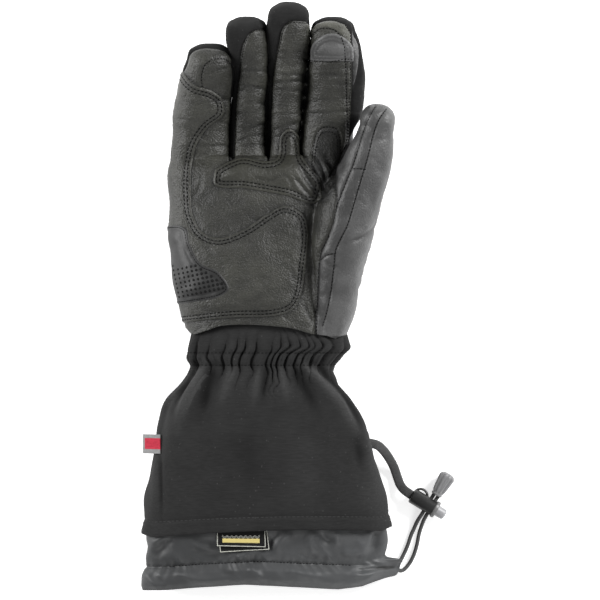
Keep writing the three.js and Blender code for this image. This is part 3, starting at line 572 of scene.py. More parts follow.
def smooth_rows(table, places):
    """Rows between the rows of a table, on a smooth curve through each column."""
    table = np.asarray(table, float)
    at, values = table[:, 0], table[:, 1:]
    slopes = np.gradient(values, at, axis=0)
    places = np.clip(places, at[0], at[-1])
    index = np.clip(np.searchsorted(at, places) - 1, 0, len(at) - 2)
    gap = (at[index + 1] - at[index])[:, None]
    part = (places - at[index])[:, None] / gap
    start, end = values[index], values[index + 1]
    leave, arrive = slopes[index] * gap, slopes[index + 1] * gap
    return (
        start * (2 * part**3 - 3 * part**2 + 1) + leave * (part**3 - 2 * part**2 + part)
        + end * (3 * part**2 - 2 * part**3) + arrive * (part**3 - part**2)
    )


def section_ring(left, right, low, high, sides):
    """Points (x, z) at equal steps round a rounded-box section, from its thumb side upwards."""
    angle = np.linspace(0, 2 * np.pi, sides * 8 + 1)
    power = 2 / np.where(np.sin(angle) >= 0, top_shape, base_shape)
    x = np.sign(np.cos(angle)) * np.abs(np.cos(angle)) ** power
    z = np.sign(np.sin(angle)) * np.abs(np.sin(angle)) ** power
    ring = np.stack([(left + right) / 2 + (right - left) / 2 * x, (low + high) / 2 + (high - low) / 2 * z], 1)
    return spaced(ring, np.linalg.norm(np.diff(ring, axis=0), axis=1).sum() / sides)[:sides]


def loft(rings):
    """Points and faces of a closed skin over rings of equal counts."""
    ends = [rings[0].mean(0), rings[-1].mean(0)]
    return np.concatenate([*rings, ends]), tube_faces(len(rings), len(rings[0]))


def palm_box(along):
    left, right, low, high = smooth_rows(palm_rows, np.atleast_1d(along)).T
    return (
        palm_centre - left * palm_width / 2, palm_centre + right * palm_width / 2,
        low * palm_thick, high * palm_thick,
    )


def palm_skin():
    rings = []
    for along in np.linspace(palm_rows[0, 0], palm_rows[-1, 0], palm_rings):
        left, right, low, high = (float(side[0]) for side in palm_box(along))
        ring = section_ring(left, right, low, high, palm_sides)
        down = np.full(palm_sides, wrist_y + along * palm_length)
        rings.append(np.stack([ring[:, 0], down, ring[:, 1]], 1))
    return loft(rings)


def limb_skin(rows, length, base_y, root_height, rise, bend):
    """A finger or thumb: rows of along, left, right and thickness on a rising centre line."""
    last = rows[-1, 0]
    alongs = np.linspace(rows[0, 0], last, limb_rings)
    tips = 1 - (1 - np.linspace(0, 0.985, tip_rings)[1:]) ** 1.6
    places = np.concatenate([alongs, last + (1 - last) * tips])
    scales = np.concatenate([np.ones(len(alongs)), (1 - tips**tip_round) ** (1 / tip_round)])
    rings = []
    for along, scale, (left, right, thick) in zip(places, scales, smooth_rows(rows, places)):
        climb = max(0.0, along)
        tilt = math.atan(rise * bend * climb ** (bend - 1) / length)
        half, middle = (right - left) / 2 * scale, (left + right) / 2
        ring = section_ring(-half, half, -thick / 2 * scale, thick / 2 * scale, limb_sides)
        rings.append(np.stack([
            middle + ring[:, 0],
            base_y + along * length - ring[:, 1] * math.sin(tilt),
            root_height + rise * climb**bend + ring[:, 1] * math.cos(tilt),
        ], 1))
    return loft(rings)


skins = [palm_skin()]
for length, thick, rows in fingers.values():
    table = np.array([
        ((y / 1000 - crotch_y) / (length / 1000), left / 1000, right / 1000, full * thick / 1000)
        for y, left, right, full in rows
    ])
    skins.append(limb_skin(table, length / 1000, crotch_y, finger_root_height, finger_curl, finger_bend))
length, width, thick, root_x, root_height, rise, bend, base_y, rows = thumb
table = np.array([
    (along, root_x + (shift - w / 2) * width, root_x + (shift + w / 2) * width, t * thick)
    for along, shift, w, t in rows
])
table[:, 1:] /= 1000
skins.append(limb_skin(table, length / 1000, base_y / 1000, root_height / 1000, rise / 1000, bend))
start, all_points, all_faces = 0, [], []
for points, faces in skins:
    all_points.append(points)
    all_faces += [[start + corner for corner in face] for face in faces]
    start += len(points)
form = new_piece("hand_form", np.concatenate(all_points), all_faces)
even = form.modifiers.new("even", "REMESH")
even.mode, even.voxel_size, even.adaptivity = "VOXEL", even_step, 0
form_mesh = finished(form)


def mesh_arrays(mesh):
    points = np.empty(len(mesh.vertices) * 3, np.float32)
    mesh.vertices.foreach_get("co", points)
    normals = np.empty(len(mesh.vertices) * 3, np.float32)
    mesh.vertex_normals.foreach_get("vector", normals)
    corners = np.empty(len(mesh.loops), np.int32)
    mesh.loops.foreach_get("vertex_index", corners)
    edges = np.empty(len(mesh.edges) * 2, np.int32)
    mesh.edges.foreach_get("vertices", edges)
    return (
        points.reshape(-1, 3).astype(float), normals.reshape(-1, 3).astype(float),
        corners, edges.reshape(-1, 2),
    )


def relaxed(points, edges, rounds, share=0.5):
    """Points moved towards the middle of their neighbours, again and again."""
    count = np.bincount(edges.ravel(), minlength=len(points))[:, None]
    for _ in range(rounds):
        total = np.zeros_like(points)
        for axis in range(points.shape[1]):
            total[:, axis] = (
                np.bincount(edges[:, 0], points[edges[:, 1], axis], len(points))
                + np.bincount(edges[:, 1], points[edges[:, 0], axis], len(points))
            )
        points = points + share * (total / count - points)
    return points


form_points, _, form_corners, form_edges = mesh_arrays(form_mesh)
form_points = relaxed(form_points, form_edges, 6)
form_mesh.vertices.foreach_set("co", form_points.ravel())
form_mesh.update()
form_mesh_normals = mesh_arrays(form_mesh)[1]


def soft_noise(points, size, seed):
    """Smooth noise from -1 to 1 whose features have a size, one number or one for each axis."""
    cell = points / size + 100.5
    base = np.floor(cell).astype(np.int64)
    part = cell - base
    part = part * part * (3 - 2 * part)
    total = np.zeros(len(points))
    for corner in range(8):
        step = np.array([corner & 1, corner >> 1 & 1, corner >> 2 & 1])
        key = base + step
        mixed = (key[:, 0] * 73856093 ^ key[:, 1] * 19349663 ^ key[:, 2] * 83492791 ^ seed * 2654435761)
        mixed = (mixed & 0xFFFFFFFF) * 1274126177 & 0xFFFFFFFF
        mixed = (mixed ^ mixed >> 15) * 2246822519 & 0xFFFFFFFF
        mixed = mixed ^ mixed >> 13
        weight = np.where(step, part, 1 - part).prod(1)
        total += weight * (mixed / 2**31 - 1)
    return total


def bell_curve(distance, width):
    return np.exp(-((distance / width) ** 2))


def eased(value, low, high):
    part = np.clip((value - low) / (high - low), 0, 1)
    return part * part * (3 - 2 * part)


def line_distance(line, places):
    """Distance of plan places to a line of points, and the share of its length where it's nearest."""
    best, share = np.full(len(places), 9.0), np.zeros(len(places))
    along = travelled(line)
    for index in range(len(line) - 1):
        start, step = line[index], line[index + 1] - line[index]
        part = np.clip((places - start) @ step / (step @ step), 0, 1)
        distance = np.linalg.norm(places - start - part[:, None] * step, axis=1)
        nearer = distance < best
        best = np.where(nearer, distance, best)
        share = np.where(nearer, along[index] + part * (along[index + 1] - along[index]), share)
    return best, share / along[-1]


def inside_line(line, places):
    """Whether plan places lie inside a closed line."""
    inside = np.zeros(len(places), bool)
    for (x0, y0), (x1, y1) in zip(line, np.roll(line, -1, 0)):
        crosses = (y0 > places[:, 1]) != (y1 > places[:, 1])
        if abs(y1 - y0) > 1e-12:
            inside ^= crosses & (places[:, 0] < (x1 - x0) * (places[:, 1] - y0) / (y1 - y0) + x0)
    return inside


def plan_field(line, places):
    """Distance to a closed line in plan, above zero inside it."""
    closed = np.concatenate([line, line[:1]])
    distance, _ = line_distance(closed, places)
    return np.where(inside_line(line, places), distance, -distance)


def on_palm(points):
    points = np.asarray(points, float)
    return np.stack([palm_centre + points[:, 0] * palm_width / 2, wrist_y + points[:, 1] * palm_length], 1)


# Seams of the hand: the lines in plan where panels meet or end.
side_seam = [
    (-0.83, 1.52), (-0.72, 1.445), (-0.54, 1.41), (-0.42, 1.36), (-0.42, 1.27), (-0.59, 1.19),
    (-0.71, 1.09), (-0.76, 0.945), (-0.77, 0.83), (-0.74, 0.68), (-0.63, 0.58), (-0.45, 0.545),
    (-0.16, 0.6), (0.1, 0.69), (0.29, 0.735), (0.5, 0.68), (0.55, 0.59), (0.52, 0.4),
    (0.47, 0.21), (0.37, 0.125), (0.17, 0.09), (-0.33, 0.08), (-0.85, 0.05),
]
knuckle_patch_edge = [
    (-0.5, 0.945), (-0.39, 0.975), (-0.19, 1.01), (0.06, 0.99), (0.2, 1.01), (0.24, 1.15),
    (0.34, 1.19), (0.45, 1.14), (0.49, 1.015), (0.7, 0.88), (0.63, 0.75), (0.29, 0.795),
    (-0.16, 0.835), (-0.5, 0.855),
]
heel_patch_edge = [
    (-0.88, 0.625), (-0.8, 0.6), (-0.76, 0.515), (-0.64, 0.4), (-0.45, 0.35), (-0.33, 0.25),
    (-0.42, 0.205), (-0.84, 0.16),
]
thumb_seam = [
    (1.27, 1.39), (1.17, 1.27), (1.1, 1.2), (1, 1.1), (0.91, 1.01), (0.845, 0.935), (0.845, 0.855),
    (0.87, 0.77), (0.82, 0.625), (0.75, 0.535), (0.68, 0.455), (0.65, 0.325), (0.64, 0.18),
    (0.63, 0), (0.63, -0.3),
]
wrist_edge = [
    (-1.3, 0.06), (-0.83, 0.02), (-0.75, -0.015), (-0.62, 0), (-0.45, 0.03), (-0.22, 0.04),
    (0.34, 0.02), (0.59, -0.015), (0.83, -0.035), (0.94, -0.095), (1.3, -0.11),
]
seam_step = 0.002
side_line = smooth_line(on_palm(side_seam), seam_step)
knuckle_line = smooth_line(on_palm([*knuckle_patch_edge, knuckle_patch_edge[0]]), seam_step)[:-1]
heel_line = smooth_line(on_palm(heel_patch_edge), seam_step)
thumb_line = smooth_line(on_palm(thumb_seam), seam_step)
wrist_line = smooth_line(on_palm(wrist_edge), seam_step)
side_plan = np.concatenate([side_line, [(-0.15, side_line[-1, 1]), (-0.15, side_line[0, 1])]])
heel_plan = np.concatenate([heel_line, [(-0.15, heel_line[-1, 1]), (-0.15, heel_line[0, 1])]])
thumb_plan = np.concatenate([thumb_line, [(0.25, thumb_line[-1, 1]), (0.25, thumb_line[0, 1] + 0.1)]])

# Leather on each finger's front: its left and right edge and its end, in millimetres, from
# the root up. Where an edge is None the leather turns down the side to half its height.
finger_leather = {
    "little": (None, None, 200),
    "ring": (
        [(70, -21.6), (91, -21.4), (119, -20.8), (132, -19.5), (141.4, -18.3), (149.6, -17),
         (158.4, -15.1), (162.2, -13.2), (165.4, -11.3), (167.9, -8.2)], None, 169.2,
    ),
    "middle": (
        [(70, 0.4), (94, 0.6), (128.8, 1.9), (138.3, 2.5), (145.8, 3.8), (154, 5.7), (160.3, 7.6),
         (166.6, 8.8), (170.4, 10.7), (172.9, 13.9)], None, 173.6,
    ),
    "index": (
        None, [(80, 50.5), (102, 52.3), (112, 52.9), (131, 53.5), (150, 53.8), (165.6, 53.4),
               (172, 50), (174.6, 44)], 200,
    ),
}
x, y, z = form_points.T
plan = form_points[:, :2]


def finger_centre_height(name, y):
    climb = np.clip((y - crotch_y) / (fingers[name][0] / 1000), 0, None)
    return finger_root_height + finger_curl * climb**finger_bend


def finger_side(name, y, side):
    rows = np.array(fingers[name][2]) / 1000
    return np.interp(y, rows[:, 0], rows[:, side])


# Which finger each point of the form belongs to, and the fields that are above zero inside
# the thumb cover, above the wrist line, on the finger leather and on each patch.
finger_names = list(fingers)
gap_lines = [
    (finger_side(one, y, 2) + finger_side(other, y, 1)) / 2
    for one, other in zip(finger_names, finger_names[1:])
]
finger_of = sum((x > line).astype(int) for line in gap_lines)
thumb_tip_height, thumb_tip_side, thumb_tip_start = 0.0375, 0.0545, 0.1
above_index = np.minimum.reduce([z - thumb_tip_height, x - thumb_tip_side, y - thumb_tip_start])
thumb_field = np.maximum(plan_field(thumb_plan, plan), above_index)
wrist_field = y - np.interp(x, wrist_line[:, 0], wrist_line[:, 1])

front_field = np.minimum(crotch_y - y, z - finger_root_height)
for number, name in enumerate(finger_names):
    left_edge, right_edge, end = finger_leather[name]
    own = np.minimum(z - finger_centre_height(name, y), end / 1000 - y)
    if left_edge:
        edge = np.array(left_edge) / 1000
        own = np.minimum(own, x - np.interp(y, edge[:, 0], edge[:, 1]))
        own = np.where(y > edge[-1, 0], np.minimum(own, plan_field(np.concatenate([
            edge[:, ::-1], [(edge[-1, 1] + 0.004, end / 1000), (0.08, end / 1000), (0.08, edge[0, 0])],
        ]), plan)), own)
    if right_edge:
        edge = np.array(right_edge) / 1000
        own = np.minimum(own, np.interp(y, edge[:, 0], edge[:, 1]) - x)
    own = np.minimum(own, y - 0.06)
    front_field = np.where(finger_of == number, np.maximum(front_field, own), front_field)
fields = {"thumb": thumb_field, "wrist": wrist_field, "front": front_field}
upper = z > finger_root_height - 0.003
for name, line in (("side", side_plan), ("knuckle", knuckle_line), ("heel", heel_plan)):
    field = np.full(len(z), -0.02)
    field[upper] = plan_field(line, plan[upper])
    fields[name] = np.minimum.reduce([field, z - finger_root_height, -thumb_field - 0.0006])
index_tip_y = crotch_y + 0.71 * 0.087
tip_centre, tip_half = 0.0381 + 0.08 * 0.033, 0.0165
fields["tip"] = np.minimum.reduce([
    y - index_tip_y, tip_half - 0.0035 - np.hypot(x - tip_centre, np.maximum(0, y - 0.1525)),
    z - finger_centre_height("index", y), np.where(finger_of == 3, 9, -9),
])


cut_snap, rest_level = 0.00012, 0.00002


def kept(shape, name):
    """The part of a shape where one of its fields is above zero, cut clean along the zero line.
    A shape is its faces and its values by name, one row for each point."""
    faces, values = shape
    field = np.where(np.abs(values[name]) < cut_snap, 0, values[name])
    sign = np.sign(field)
    quads = [face for face in faces if len(face) == 4]
    others = [face for face in faces if len(face) != 4]
    result, crossing = [], []
    if quads:
        table = np.array(quads)
        signs = sign[table]
        whole = (signs >= 0).all(1) & (signs > 0).any(1)
        split = (signs > 0).any(1) & (signs < 0).any(1)
        result += table[whole].tolist()
        crossing += table[split].tolist()
    for face in others:
        signs = sign[face]
        if (signs > 0).any():
            (crossing if (signs < 0).any() else result).append(face)
    first, second, part, made = [], [], [], {}
    total = len(field)
    for face in crossing:
        clipped = []
        for one, two in zip(face, face[1:] + face[:1]):
            if sign[one] >= 0:
                clipped.append(one)
            if sign[one] * sign[two] < 0:
                key = (min(one, two), max(one, two))
                if key not in made:
                    made[key] = total + len(first)
                    first.append(key[0])
                    second.append(key[1])
                    part.append(field[key[0]] / (field[key[0]] - field[key[1]]))
                clipped.append(made[key])
        if len(clipped) > 2:
            result.append(clipped)
    used = np.unique(np.concatenate([np.array(face) for face in result]))
    number = np.full(total + len(first), -1)
    number[used] = np.arange(len(used))
    part = np.array(part)
    grown = {}
    for key, value in values.items():
        share = part.reshape((-1,) + (1,) * (value.ndim - 1))
        joined = value[first] * (1 - share) + value[second] * share if first else value[:0]
        grown[key] = np.concatenate([value, joined])[used]
    return [number[face].tolist() for face in result], grown


def flipped(values, name):
    """The same values with one field turned round, to keep what lies on its other side."""
    return {**values, name: -values[name]}


def shell(name, shape, outer, inner, material, values=()):
    """A closed piece between an outer and an inner skin over one shape's faces."""
    faces, _ = shape
    count = len(outer)
    sides = {}
    for face in faces:
        for one, two in zip(face, face[1:] + face[:1]):
            sides[one, two] = sides.get((one, two), 0) + 1
    rim = [(one, two) for one, two in sides if (two, one) not in sides]
    walls = [[one + count, two + count, two, one] for one, two in rim]
    piece = new_piece(
        name, np.concatenate([outer, inner]),
        [*faces, *[[corner + count for corner in face[::-1]] for face in faces], *walls], material,
    )
    for key, value in values:
        set_values(piece, key, np.concatenate([value, value]))
    return piece


def lay_down(points):
    """No point of a soft piece lies under the surface that the glove rests on."""
    points[:, 2] = np.maximum(points[:, 2], rest_level)
    return points


def raised(values, height):
    """The places of a shape moved out along the form's normals."""
    return values["place"] + values["normal"] * np.reshape(height, (-1, 1))


form_values = {"place": form_points, "normal": form_mesh_normals, **fields}
form_faces = form_corners.reshape(-1, 4).tolist()
bpy.data.objects.remove(form)

# Hand panels: soft goatskin on the palm and the finger fronts, a woven softshell back and
# finger sides, and a leather thumb cover. Each is cut on the seams above, sewn to its
# neighbours edge to edge and padded with wadding, so it sinks at its seams and swells between.
panel_thick, seam_sink, seam_width = 0.0012, 0.0011, 0.0011
crease_reach, groove_reach, groove_width, lining = 0.009, 0.008, 0.0007, 0.0009
finger_creases = [  # finger, place up the glove, rise from left to right, width, depth, all in mm
    ("little", 96, 2, 1, 0.45), ("little", 112, -3, 1, 0.3), ("little", 124, 3, 0.9, 0.35),
    ("little", 146, 4, 0.9, 0.3), ("little", 141, 9, 0.8, 0.25),
    ("ring", 142.6, 0.5, 1, 0.55), ("ring", 146, -1, 0.8, 0.2), ("ring", 132.5, -1.5, 1.1, 0.6),
    ("ring", 129.6, -2.5, 0.8, 0.3), ("ring", 122.5, 1, 0.9, 0.35), ("ring", 116.5, -1, 0.8, 0.25),
    ("ring", 106.5, 8, 1.1, 0.7), ("ring", 101, 6, 0.9, 0.45), ("ring", 96, 3, 1, 0.4),
    ("middle", 154, 1, 0.9, 0.3), ("middle", 150.5, -1, 0.8, 0.25), ("middle", 140.4, -0.5, 1.1, 0.6),
    ("middle", 136, 2.5, 1, 0.5), ("middle", 131, -1, 0.8, 0.3), ("middle", 120.6, -0.5, 1.1, 0.6),
    ("middle", 116, 1, 0.8, 0.25), ("middle", 108, 6.5, 1, 0.5), ("middle", 103, 4, 0.8, 0.3),
    ("index", 153.5, 0.5, 0.8, 0.2), ("index", 144, 1, 0.9, 0.3), ("index", 139.5, -1, 1.1, 0.55),
    ("index", 134, 0, 0.8, 0.25), ("index", 125, 1.5, 0.9, 0.35), ("index", 117, 2, 1, 0.4),
    ("index", 110, -3, 0.8, 0.3),
]
plan_creases = [  # width and depth, then points in plan, all in millimetres
    (1.5, 1.2, [(19, 86), (24, 77), (30, 69), (36, 62)]),
    (1.3, 0.9, [(22, 92), (29, 82), (34, 72), (39, 63)]),
    (1.2, 0.8, [(17, 77), (22, 70), (29, 64)]), (1.1, 0.7, [(27, 95), (34, 84), (38, 72)]),
    (1.6, 1.0, [(35, 93), (41, 82), (43, 72)]), (1.1, 0.5, [(19, 66), (26, 61), (33, 57)]),
    (1.3, 0.5, [(25, 58), (22, 47), (23, 36)]), (1.2, 0.4, [(20, 54), (17, 44)]),
    (1.2, 0.6, [(19, 24), (22, 12), (20, 0)]), (1.3, 0.35, [(14, 22), (17, 10), (15, 2)]),
    (1.4, 0.6, [(71, 47), (66, 44), (57, 38), (50, 36)]), (1.2, 0.5, [(73, 27), (66, 24), (60, 20)]),
    (1.6, 0.45, [(77, 35), (70, 33), (60, 27)]), (1.3, 0.4, [(70, 8), (64, 10), (58, 16)]),
    (1.2, 0.4, [(66, -4), (61, 2), (56, 10)]), (1.1, 0.3, [(37, 24), (42, 20), (45, 22)]),
    (1.3, 0.3, [(-35, 30), (-28, 22), (-26, 12)]), (1.2, 0.3, [(-44, 42), (-37, 33), (-33, 24)]),
    (1.3, 0.25, [(-18, 58), (-8, 50), (4, 47)]), (1.4, 0.25, [(-30, 64), (-20, 60), (-12, 62)]),
    (1.2, 0.3, [(-48, 62), (-42, 70), (-41, 80)]), (1.4, 0.3, [(-52, 92), (-47, 100), (-49, 112)]),
    (1.2, 0.35, [(-9, 77), (2, 74), (10, 78)]), (1, 0.3, [(8, 80), (14, 75), (17, 68)]),
    (1.3, 0.5, [(22.5, -1), (26, -9), (30, -17)]), (1.1, 0.3, [(10, -9), (14, -14)]),
    (1.3, 0.3, [(-47, -3), (-36, -7), (-24, -6)]), (1.1, 0.25, [(-12, -8), (2, -9), (14, -6)]),
]
thumb_strip = metres([  # the outer edge of the darker strip along the thumb's inner side
    (74.3, 118), (70, 112), (66.2, 101.8), (63.6, 91), (59.9, 78.4), (56.7, 67.7), (53.5, 56.4),
    (49.8, 45), (46, 37.5), (42.8, 29.9), (42.2, 23.6), (41, 12.3), (39.7, 2.8), (37.8, -6.6), (35.3, -16),
])
little_tip_seam = metres([
    (-40.3, 133.2), (-40.6, 138), (-39.8, 143), (-38, 146.5), (-34.5, 149), (-30, 150.2), (-25, 149.4),
    (-21.4, 146),
])
index_tip_seam = metres([
    (26.5, 159), (28.6, 164), (31.5, 167.6), (35, 168.9), (39.5, 168.7), (43.5, 166.8), (46.6, 162.9),
    (48.4, 157.2), (49.1, 149.6),
])
index_cross_seam = metres([(23.8, 150.4), (30, 149.2), (38, 148.4), (44, 149), (49.3, 149.9), (53, 149.6)])
index_side_seam = metres([(49.3, 149.9), (49.6, 140), (49.9, 128), (50.4, 114), (50.2, 102), (48.8, 95)])
index_tab_seam = metres([
    (28.3, 85), (28.7, 92), (29.6, 98), (31.6, 104.5), (34.5, 107.6), (38.6, 108.3), (43, 107.4),
    (45.4, 103.2), (46, 97), (46.2, 92),
])
thumb_upper_seam = metres([  # the strip's inner edge, above the place where it leaves the palm
    (67.4, 119.4), (62.4, 109.9), (59.9, 103.6), (57.3, 94.2), (53.6, 82.8), (50.4, 75.3), (46.6, 65.8),
    (43.4, 58),
])
thumb_cross_seams = [metres([(54.3, 81.4), (61, 80.8)]), metres([(34, 25), (38, 27.6), (42.8, 28.7)])]


def line_field(line, places, reach):
    """Distance of plan places to a line; beyond a reach round the line it stays at the reach."""
    low, high = line.min(0) - reach, line.max(0) + reach
    near = ((places > low) & (places < high)).all(1)
    distance = np.full(len(places), reach)
    if near.any():
        distance[near] = np.minimum(line_distance(line, places[near])[0], reach)
    return distance


def crease(distance, width, depth):
    """A crease with soft lips on both sides."""
    lips = bell_curve(distance - 2.2 * width, 1.1 * width)
    return depth * (0.4 * lips - bell_curve(distance, width))


def front_creases(values):
    """Creases across the finger fronts and in the palm and thumb, on the side that faces up."""
    places = values["place"]
    plan_places, heights = places[:, :2], places[:, 2]
    total = np.zeros(len(places))
    for name, y_mid, rise, width, depth in finger_creases:
        left, right = (finger_side(name, y_mid / 1000, side) for side in (1, 2))
        middle = (left + right) / 2
        line = np.array([
            (left, (y_mid - rise / 2) / 1000), (middle, (y_mid + depth) / 1000),
            (right, (y_mid + rise / 2) / 1000),
        ])
        face = eased(heights - finger_centre_height(name, places[:, 1]), -0.002, 0.005)
        distance = line_field(line, plan_places, crease_reach)
        own = (plan_places[:, 0] > left - 0.001) & (plan_places[:, 0] < right + 0.001)
        shape = crease(distance, width / 1000, depth / 1400) - 0.0003 * bell_curve(distance, 0.0035)
        worn = 0.65 + 0.75 * soft_noise(places, 0.0065, 41 + int(y_mid))
        total += np.where(own, shape * face * worn, 0)
    for width, depth, points in plan_creases:
        line = smooth_line(metres(points), 0.003)
        distance, share = line_distance(line, plan_places[heights > finger_root_height])
        fade = eased(share, 0, 0.25) * (1 - eased(share, 0.75, 1))
        shape = crease(distance, width / 1000, depth / 1000) * np.clip(fade, 0.15, 1)
        total[heights > finger_root_height] += np.where(distance < crease_reach, shape, 0)
    return total


def finger_pads(values):
    """Wadding that swells each finger between its joints."""
    y = values["place"][:, 1]
    swell = 0.5 - 0.5 * np.cos(2 * np.pi * (y - crotch_y + 0.006) / 0.0235)
    return 0.0005 * swell * eased(y, crotch_y - 0.004, crotch_y + 0.006)


def wrinkles(values):
    """Fine wrinkles that run across the fingers and lie softer and rounder on the palm."""
    place = values["place"]
    on_finger = eased(place[:, 1], crotch_y - 0.01, crotch_y + 0.012)
    across = soft_noise(place, np.array([0.012, 0.0024, 0.009]), 3) * 0.00016 * on_finger
    broad = soft_noise(place, 0.018, 5) * 0.001 + soft_noise(place, 0.0085, 6) * 0.00055
    fine = soft_noise(place, 0.0036, 4) * 0.00018
    crotch = bell_curve(np.hypot(place[:, 0] - 0.031, (place[:, 1] - 0.079) * 0.8), 0.013)
    crumple = soft_noise(place, np.array([0.0065, 0.0085, 0.007]), 8) * 0.0013 * crotch
    return across + broad + fine + crumple


form_values["crease"] = front_creases(form_values)
form_values["wrinkle"] = wrinkles(form_values) + finger_pads(form_values)
leather_grooves = {
    "strip": np.minimum.reduce([
        line_field(smooth_line(line), plan, groove_reach)
        for line in (thumb_strip, thumb_upper_seam, *thumb_cross_seams)
    ]),
    "tips": np.minimum.reduce([
        line_field(smooth_line(line), plan, groove_reach)
        for line in (little_tip_seam, index_tip_seam, index_cross_seam, index_side_seam, index_tab_seam)
    ]),
}
for key, distance in leather_grooves.items():
    form_values[key] = np.where(z > finger_root_height, distance, groove_reach)
whole_hand = kept((form_faces, form_values), "wrist")
hand_faces, hand_values = whole_hand
thumb_shape = kept(whole_hand, "thumb")
palm_and_back = kept((hand_faces, flipped(hand_values, "thumb")), "thumb")
palm_shape = kept(palm_and_back, "front")
back_shape = kept((palm_and_back[0], flipped(palm_and_back[1], "front")), "front")


def leather_material(name, level, tint, roughness, mottle=0.26, grain=0.75):
    """Leather: pores and fine cells in the bump, a soft mottle, and the painted shade and painted crest light
    of the piece's shade attribute.
    """
    material, tree, shader = new_material(name, colour(level, tint), roughness, Specular_IOR_Level=0.42)
    blotch = noise(tree, 95)
    fleck = noise(tree, 900)
    both = combined(tree, "ADD", blotch, fleck)
    shade_by_light(tree, shader, colour(level, tint), ranged(tree, both, 1 - mottle, 1 + mottle, 0.8, 1.2))
    cells = object_texture(tree, "ShaderNodeTexVoronoi", 900)
    pores = noise(tree, 1900)
    pebble = noise(tree, 430)
    add_bump(tree, shader, [
        (cells.outputs["Distance"], -0.6), (pores, 0.5), (pebble, 0.8),
    ], grain, 0.0006)
    tree.links.new(ranged(tree, fleck, roughness - 0.07, roughness + 0.09), shader.inputs["Roughness"])
    return material


def woven_material(name, level, roughness, lint=0.5, tint=(0, 0, 0)):
    """Brushed softshell: a fine twill in the bump, faint slubs across it and pale lint specks."""
    base = colour(level, tint)
    material, tree, shader = new_material(
        name, base, roughness, Sheen_Weight=0.02, Specular_IOR_Level=0.12
    )
    place = add_node(tree, "ShaderNodeTexCoord")
    stretch = add_node(tree, "ShaderNodeMapping")
    stretch.inputs["Scale"].default_value = (0.22, 1.6, 1.6)
    tree.links.new(place.outputs["Object"], stretch.inputs["Vector"])
    slub = add_node(tree, "ShaderNodeTexNoise", {"Scale": 700, "Detail": 3})
    tree.links.new(stretch.outputs["Vector"], slub.inputs["Vector"])
    speck = object_texture(tree, "ShaderNodeTexVoronoi", 330).outputs["Distance"]
    rare = noise(tree, 210)
    specks = combined(
        tree, "MULTIPLY", ranged(tree, speck, lint, 0, 0.08, 0.2), ranged(tree, rare, 0, 1, 0.5, 0.62)
    )
    blotch = noise(tree, 60)
    spread = combined(
        tree, "MULTIPLY", ranged(tree, slub.outputs["Fac"], 0.84, 1.16, 0.3, 0.7),
        ranged(tree, blotch, 0.92, 1.08, 0.3, 0.7),
    )
    shade_by_light(tree, shader, base, spread, specks)
    twill = object_texture(tree, "ShaderNodeTexWave", 900, bands_direction="DIAGONAL")
    twill.inputs["Distortion"].default_value, twill.inputs["Detail"].default_value = 1.5, 1.0
    nap = noise(tree, 3500)
    add_bump(tree, shader, [
        (twill.outputs["Fac"], 0.35), (nap, 0.6), (slub.outputs["Fac"], 0.5),
    ], 0.5, 0.00012)
    return material


palm_leather = leather_material("palm_goatskin", 33, (1, 1, -3), 0.46)
thumb_leather = leather_material("thumb_goatskin", 64, (0, 0, 0), 0.46, 0.12, 0.4)
patch_leather = leather_material("knuckle_goatskin", 36, (2, 2, -3), 0.44, 0.16, 0.5)
smooth_leather = leather_material("heel_patch_film", 28, (0, 0, 0), 0.5, 0.05, 0.1)
softshell = woven_material("back_softshell", 28, 0.9, 2.0)


def leather_relief(values, edge):
    """How far a panel stands off the form: sunk at its edge and seams, wrinkled elsewhere."""
    sink = -seam_sink * bell_curve(edge, seam_width)
    grooves = -0.0006 * bell_curve(values["strip"], 0.0009) - 0.0005 * bell_curve(values["tips"], 0.0008)
    puff = 0.0004 * eased(edge, 0.001, 0.005)
    return sink + grooves + puff + (values["crease"] + values["wrinkle"]) * eased(edge, -0.0005, 0.003)


def leather_shade(values, edge):
    """Painted shade in seams, grooves and creases, and painted light on the wrinkle crests."""
    hollow = np.clip(-values["crease"] / 0.0006, -0.5, 1)
    deep = bell_curve(edge, 0.0011) * 0.5 + bell_curve(values["strip"], groove_width) * 0.5
    deep += bell_curve(values["tips"], groove_width) * 0.4
    crest = np.clip(values["wrinkle"] / 0.0006, -1, 1)
    return np.clip(1 - 0.45 * hollow - deep + 0.25 * crest, 0.2, 1.6)


def make_panel(name, shape, edge, material, nodes, shade):
    """A panel of the hand, sunk where its edge value is near zero."""
    faces, values = shape
    outer = lay_down(raised(values, leather_relief(values, edge)))
    inner = lay_down(raised(values, -panel_thick - lining))
    piece = shell(name, shape, outer, inner, material, [("shade", np.clip(shade, 0.1, 3))])
    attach(piece, "glove")
    for node in nodes:
        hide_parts(node)
    return piece


palm_values = palm_shape[1]
palm_edge = np.minimum(palm_values["front"], palm_values["thumb"])
palm_plan = palm_values["place"][:, :2]
tab_outline = smooth_line(np.concatenate([index_tab_seam, metres([(43, 70), (34, 60), (22, 74)])]))
in_tab = plan_field(tab_outline, palm_plan)
palm_shade = leather_shade(palm_values, palm_edge)
palm_shade *= 1 - 0.72 * eased(in_tab, -0.001, 0.002)
# Painted shade on the palm leather next to the side panel's and the knuckle patch's edges.
for overlay in ("side", "knuckle"):
    beside = np.clip(-palm_values[overlay], 0, None) + np.where(palm_values[overlay] > 0.001, 0.01, 0)
    palm_shade *= 1 - 0.6 * bell_curve(beside, 0.0014)
palm_shade *= 1 + 0.3 * soft_noise(palm_values["place"], 0.02, 51)
# Painted shade in the crumpled leather at the thumb crotch.
crotch_near = np.hypot(*((palm_plan - (0.03, 0.074)) * (1, 0.8)).T)
palm_shade *= 1 - 0.5 * bell_curve(crotch_near, 0.012)
tip_light = plan_field(smooth_line(np.concatenate([
    index_tip_seam, metres([(53, 149.8), (57, 165), (50, 180), (26, 180), (24, 160)]),
])), palm_plan)
palm_shade *= 1 + 1.8 * eased(tip_light, 0, 0.0015)
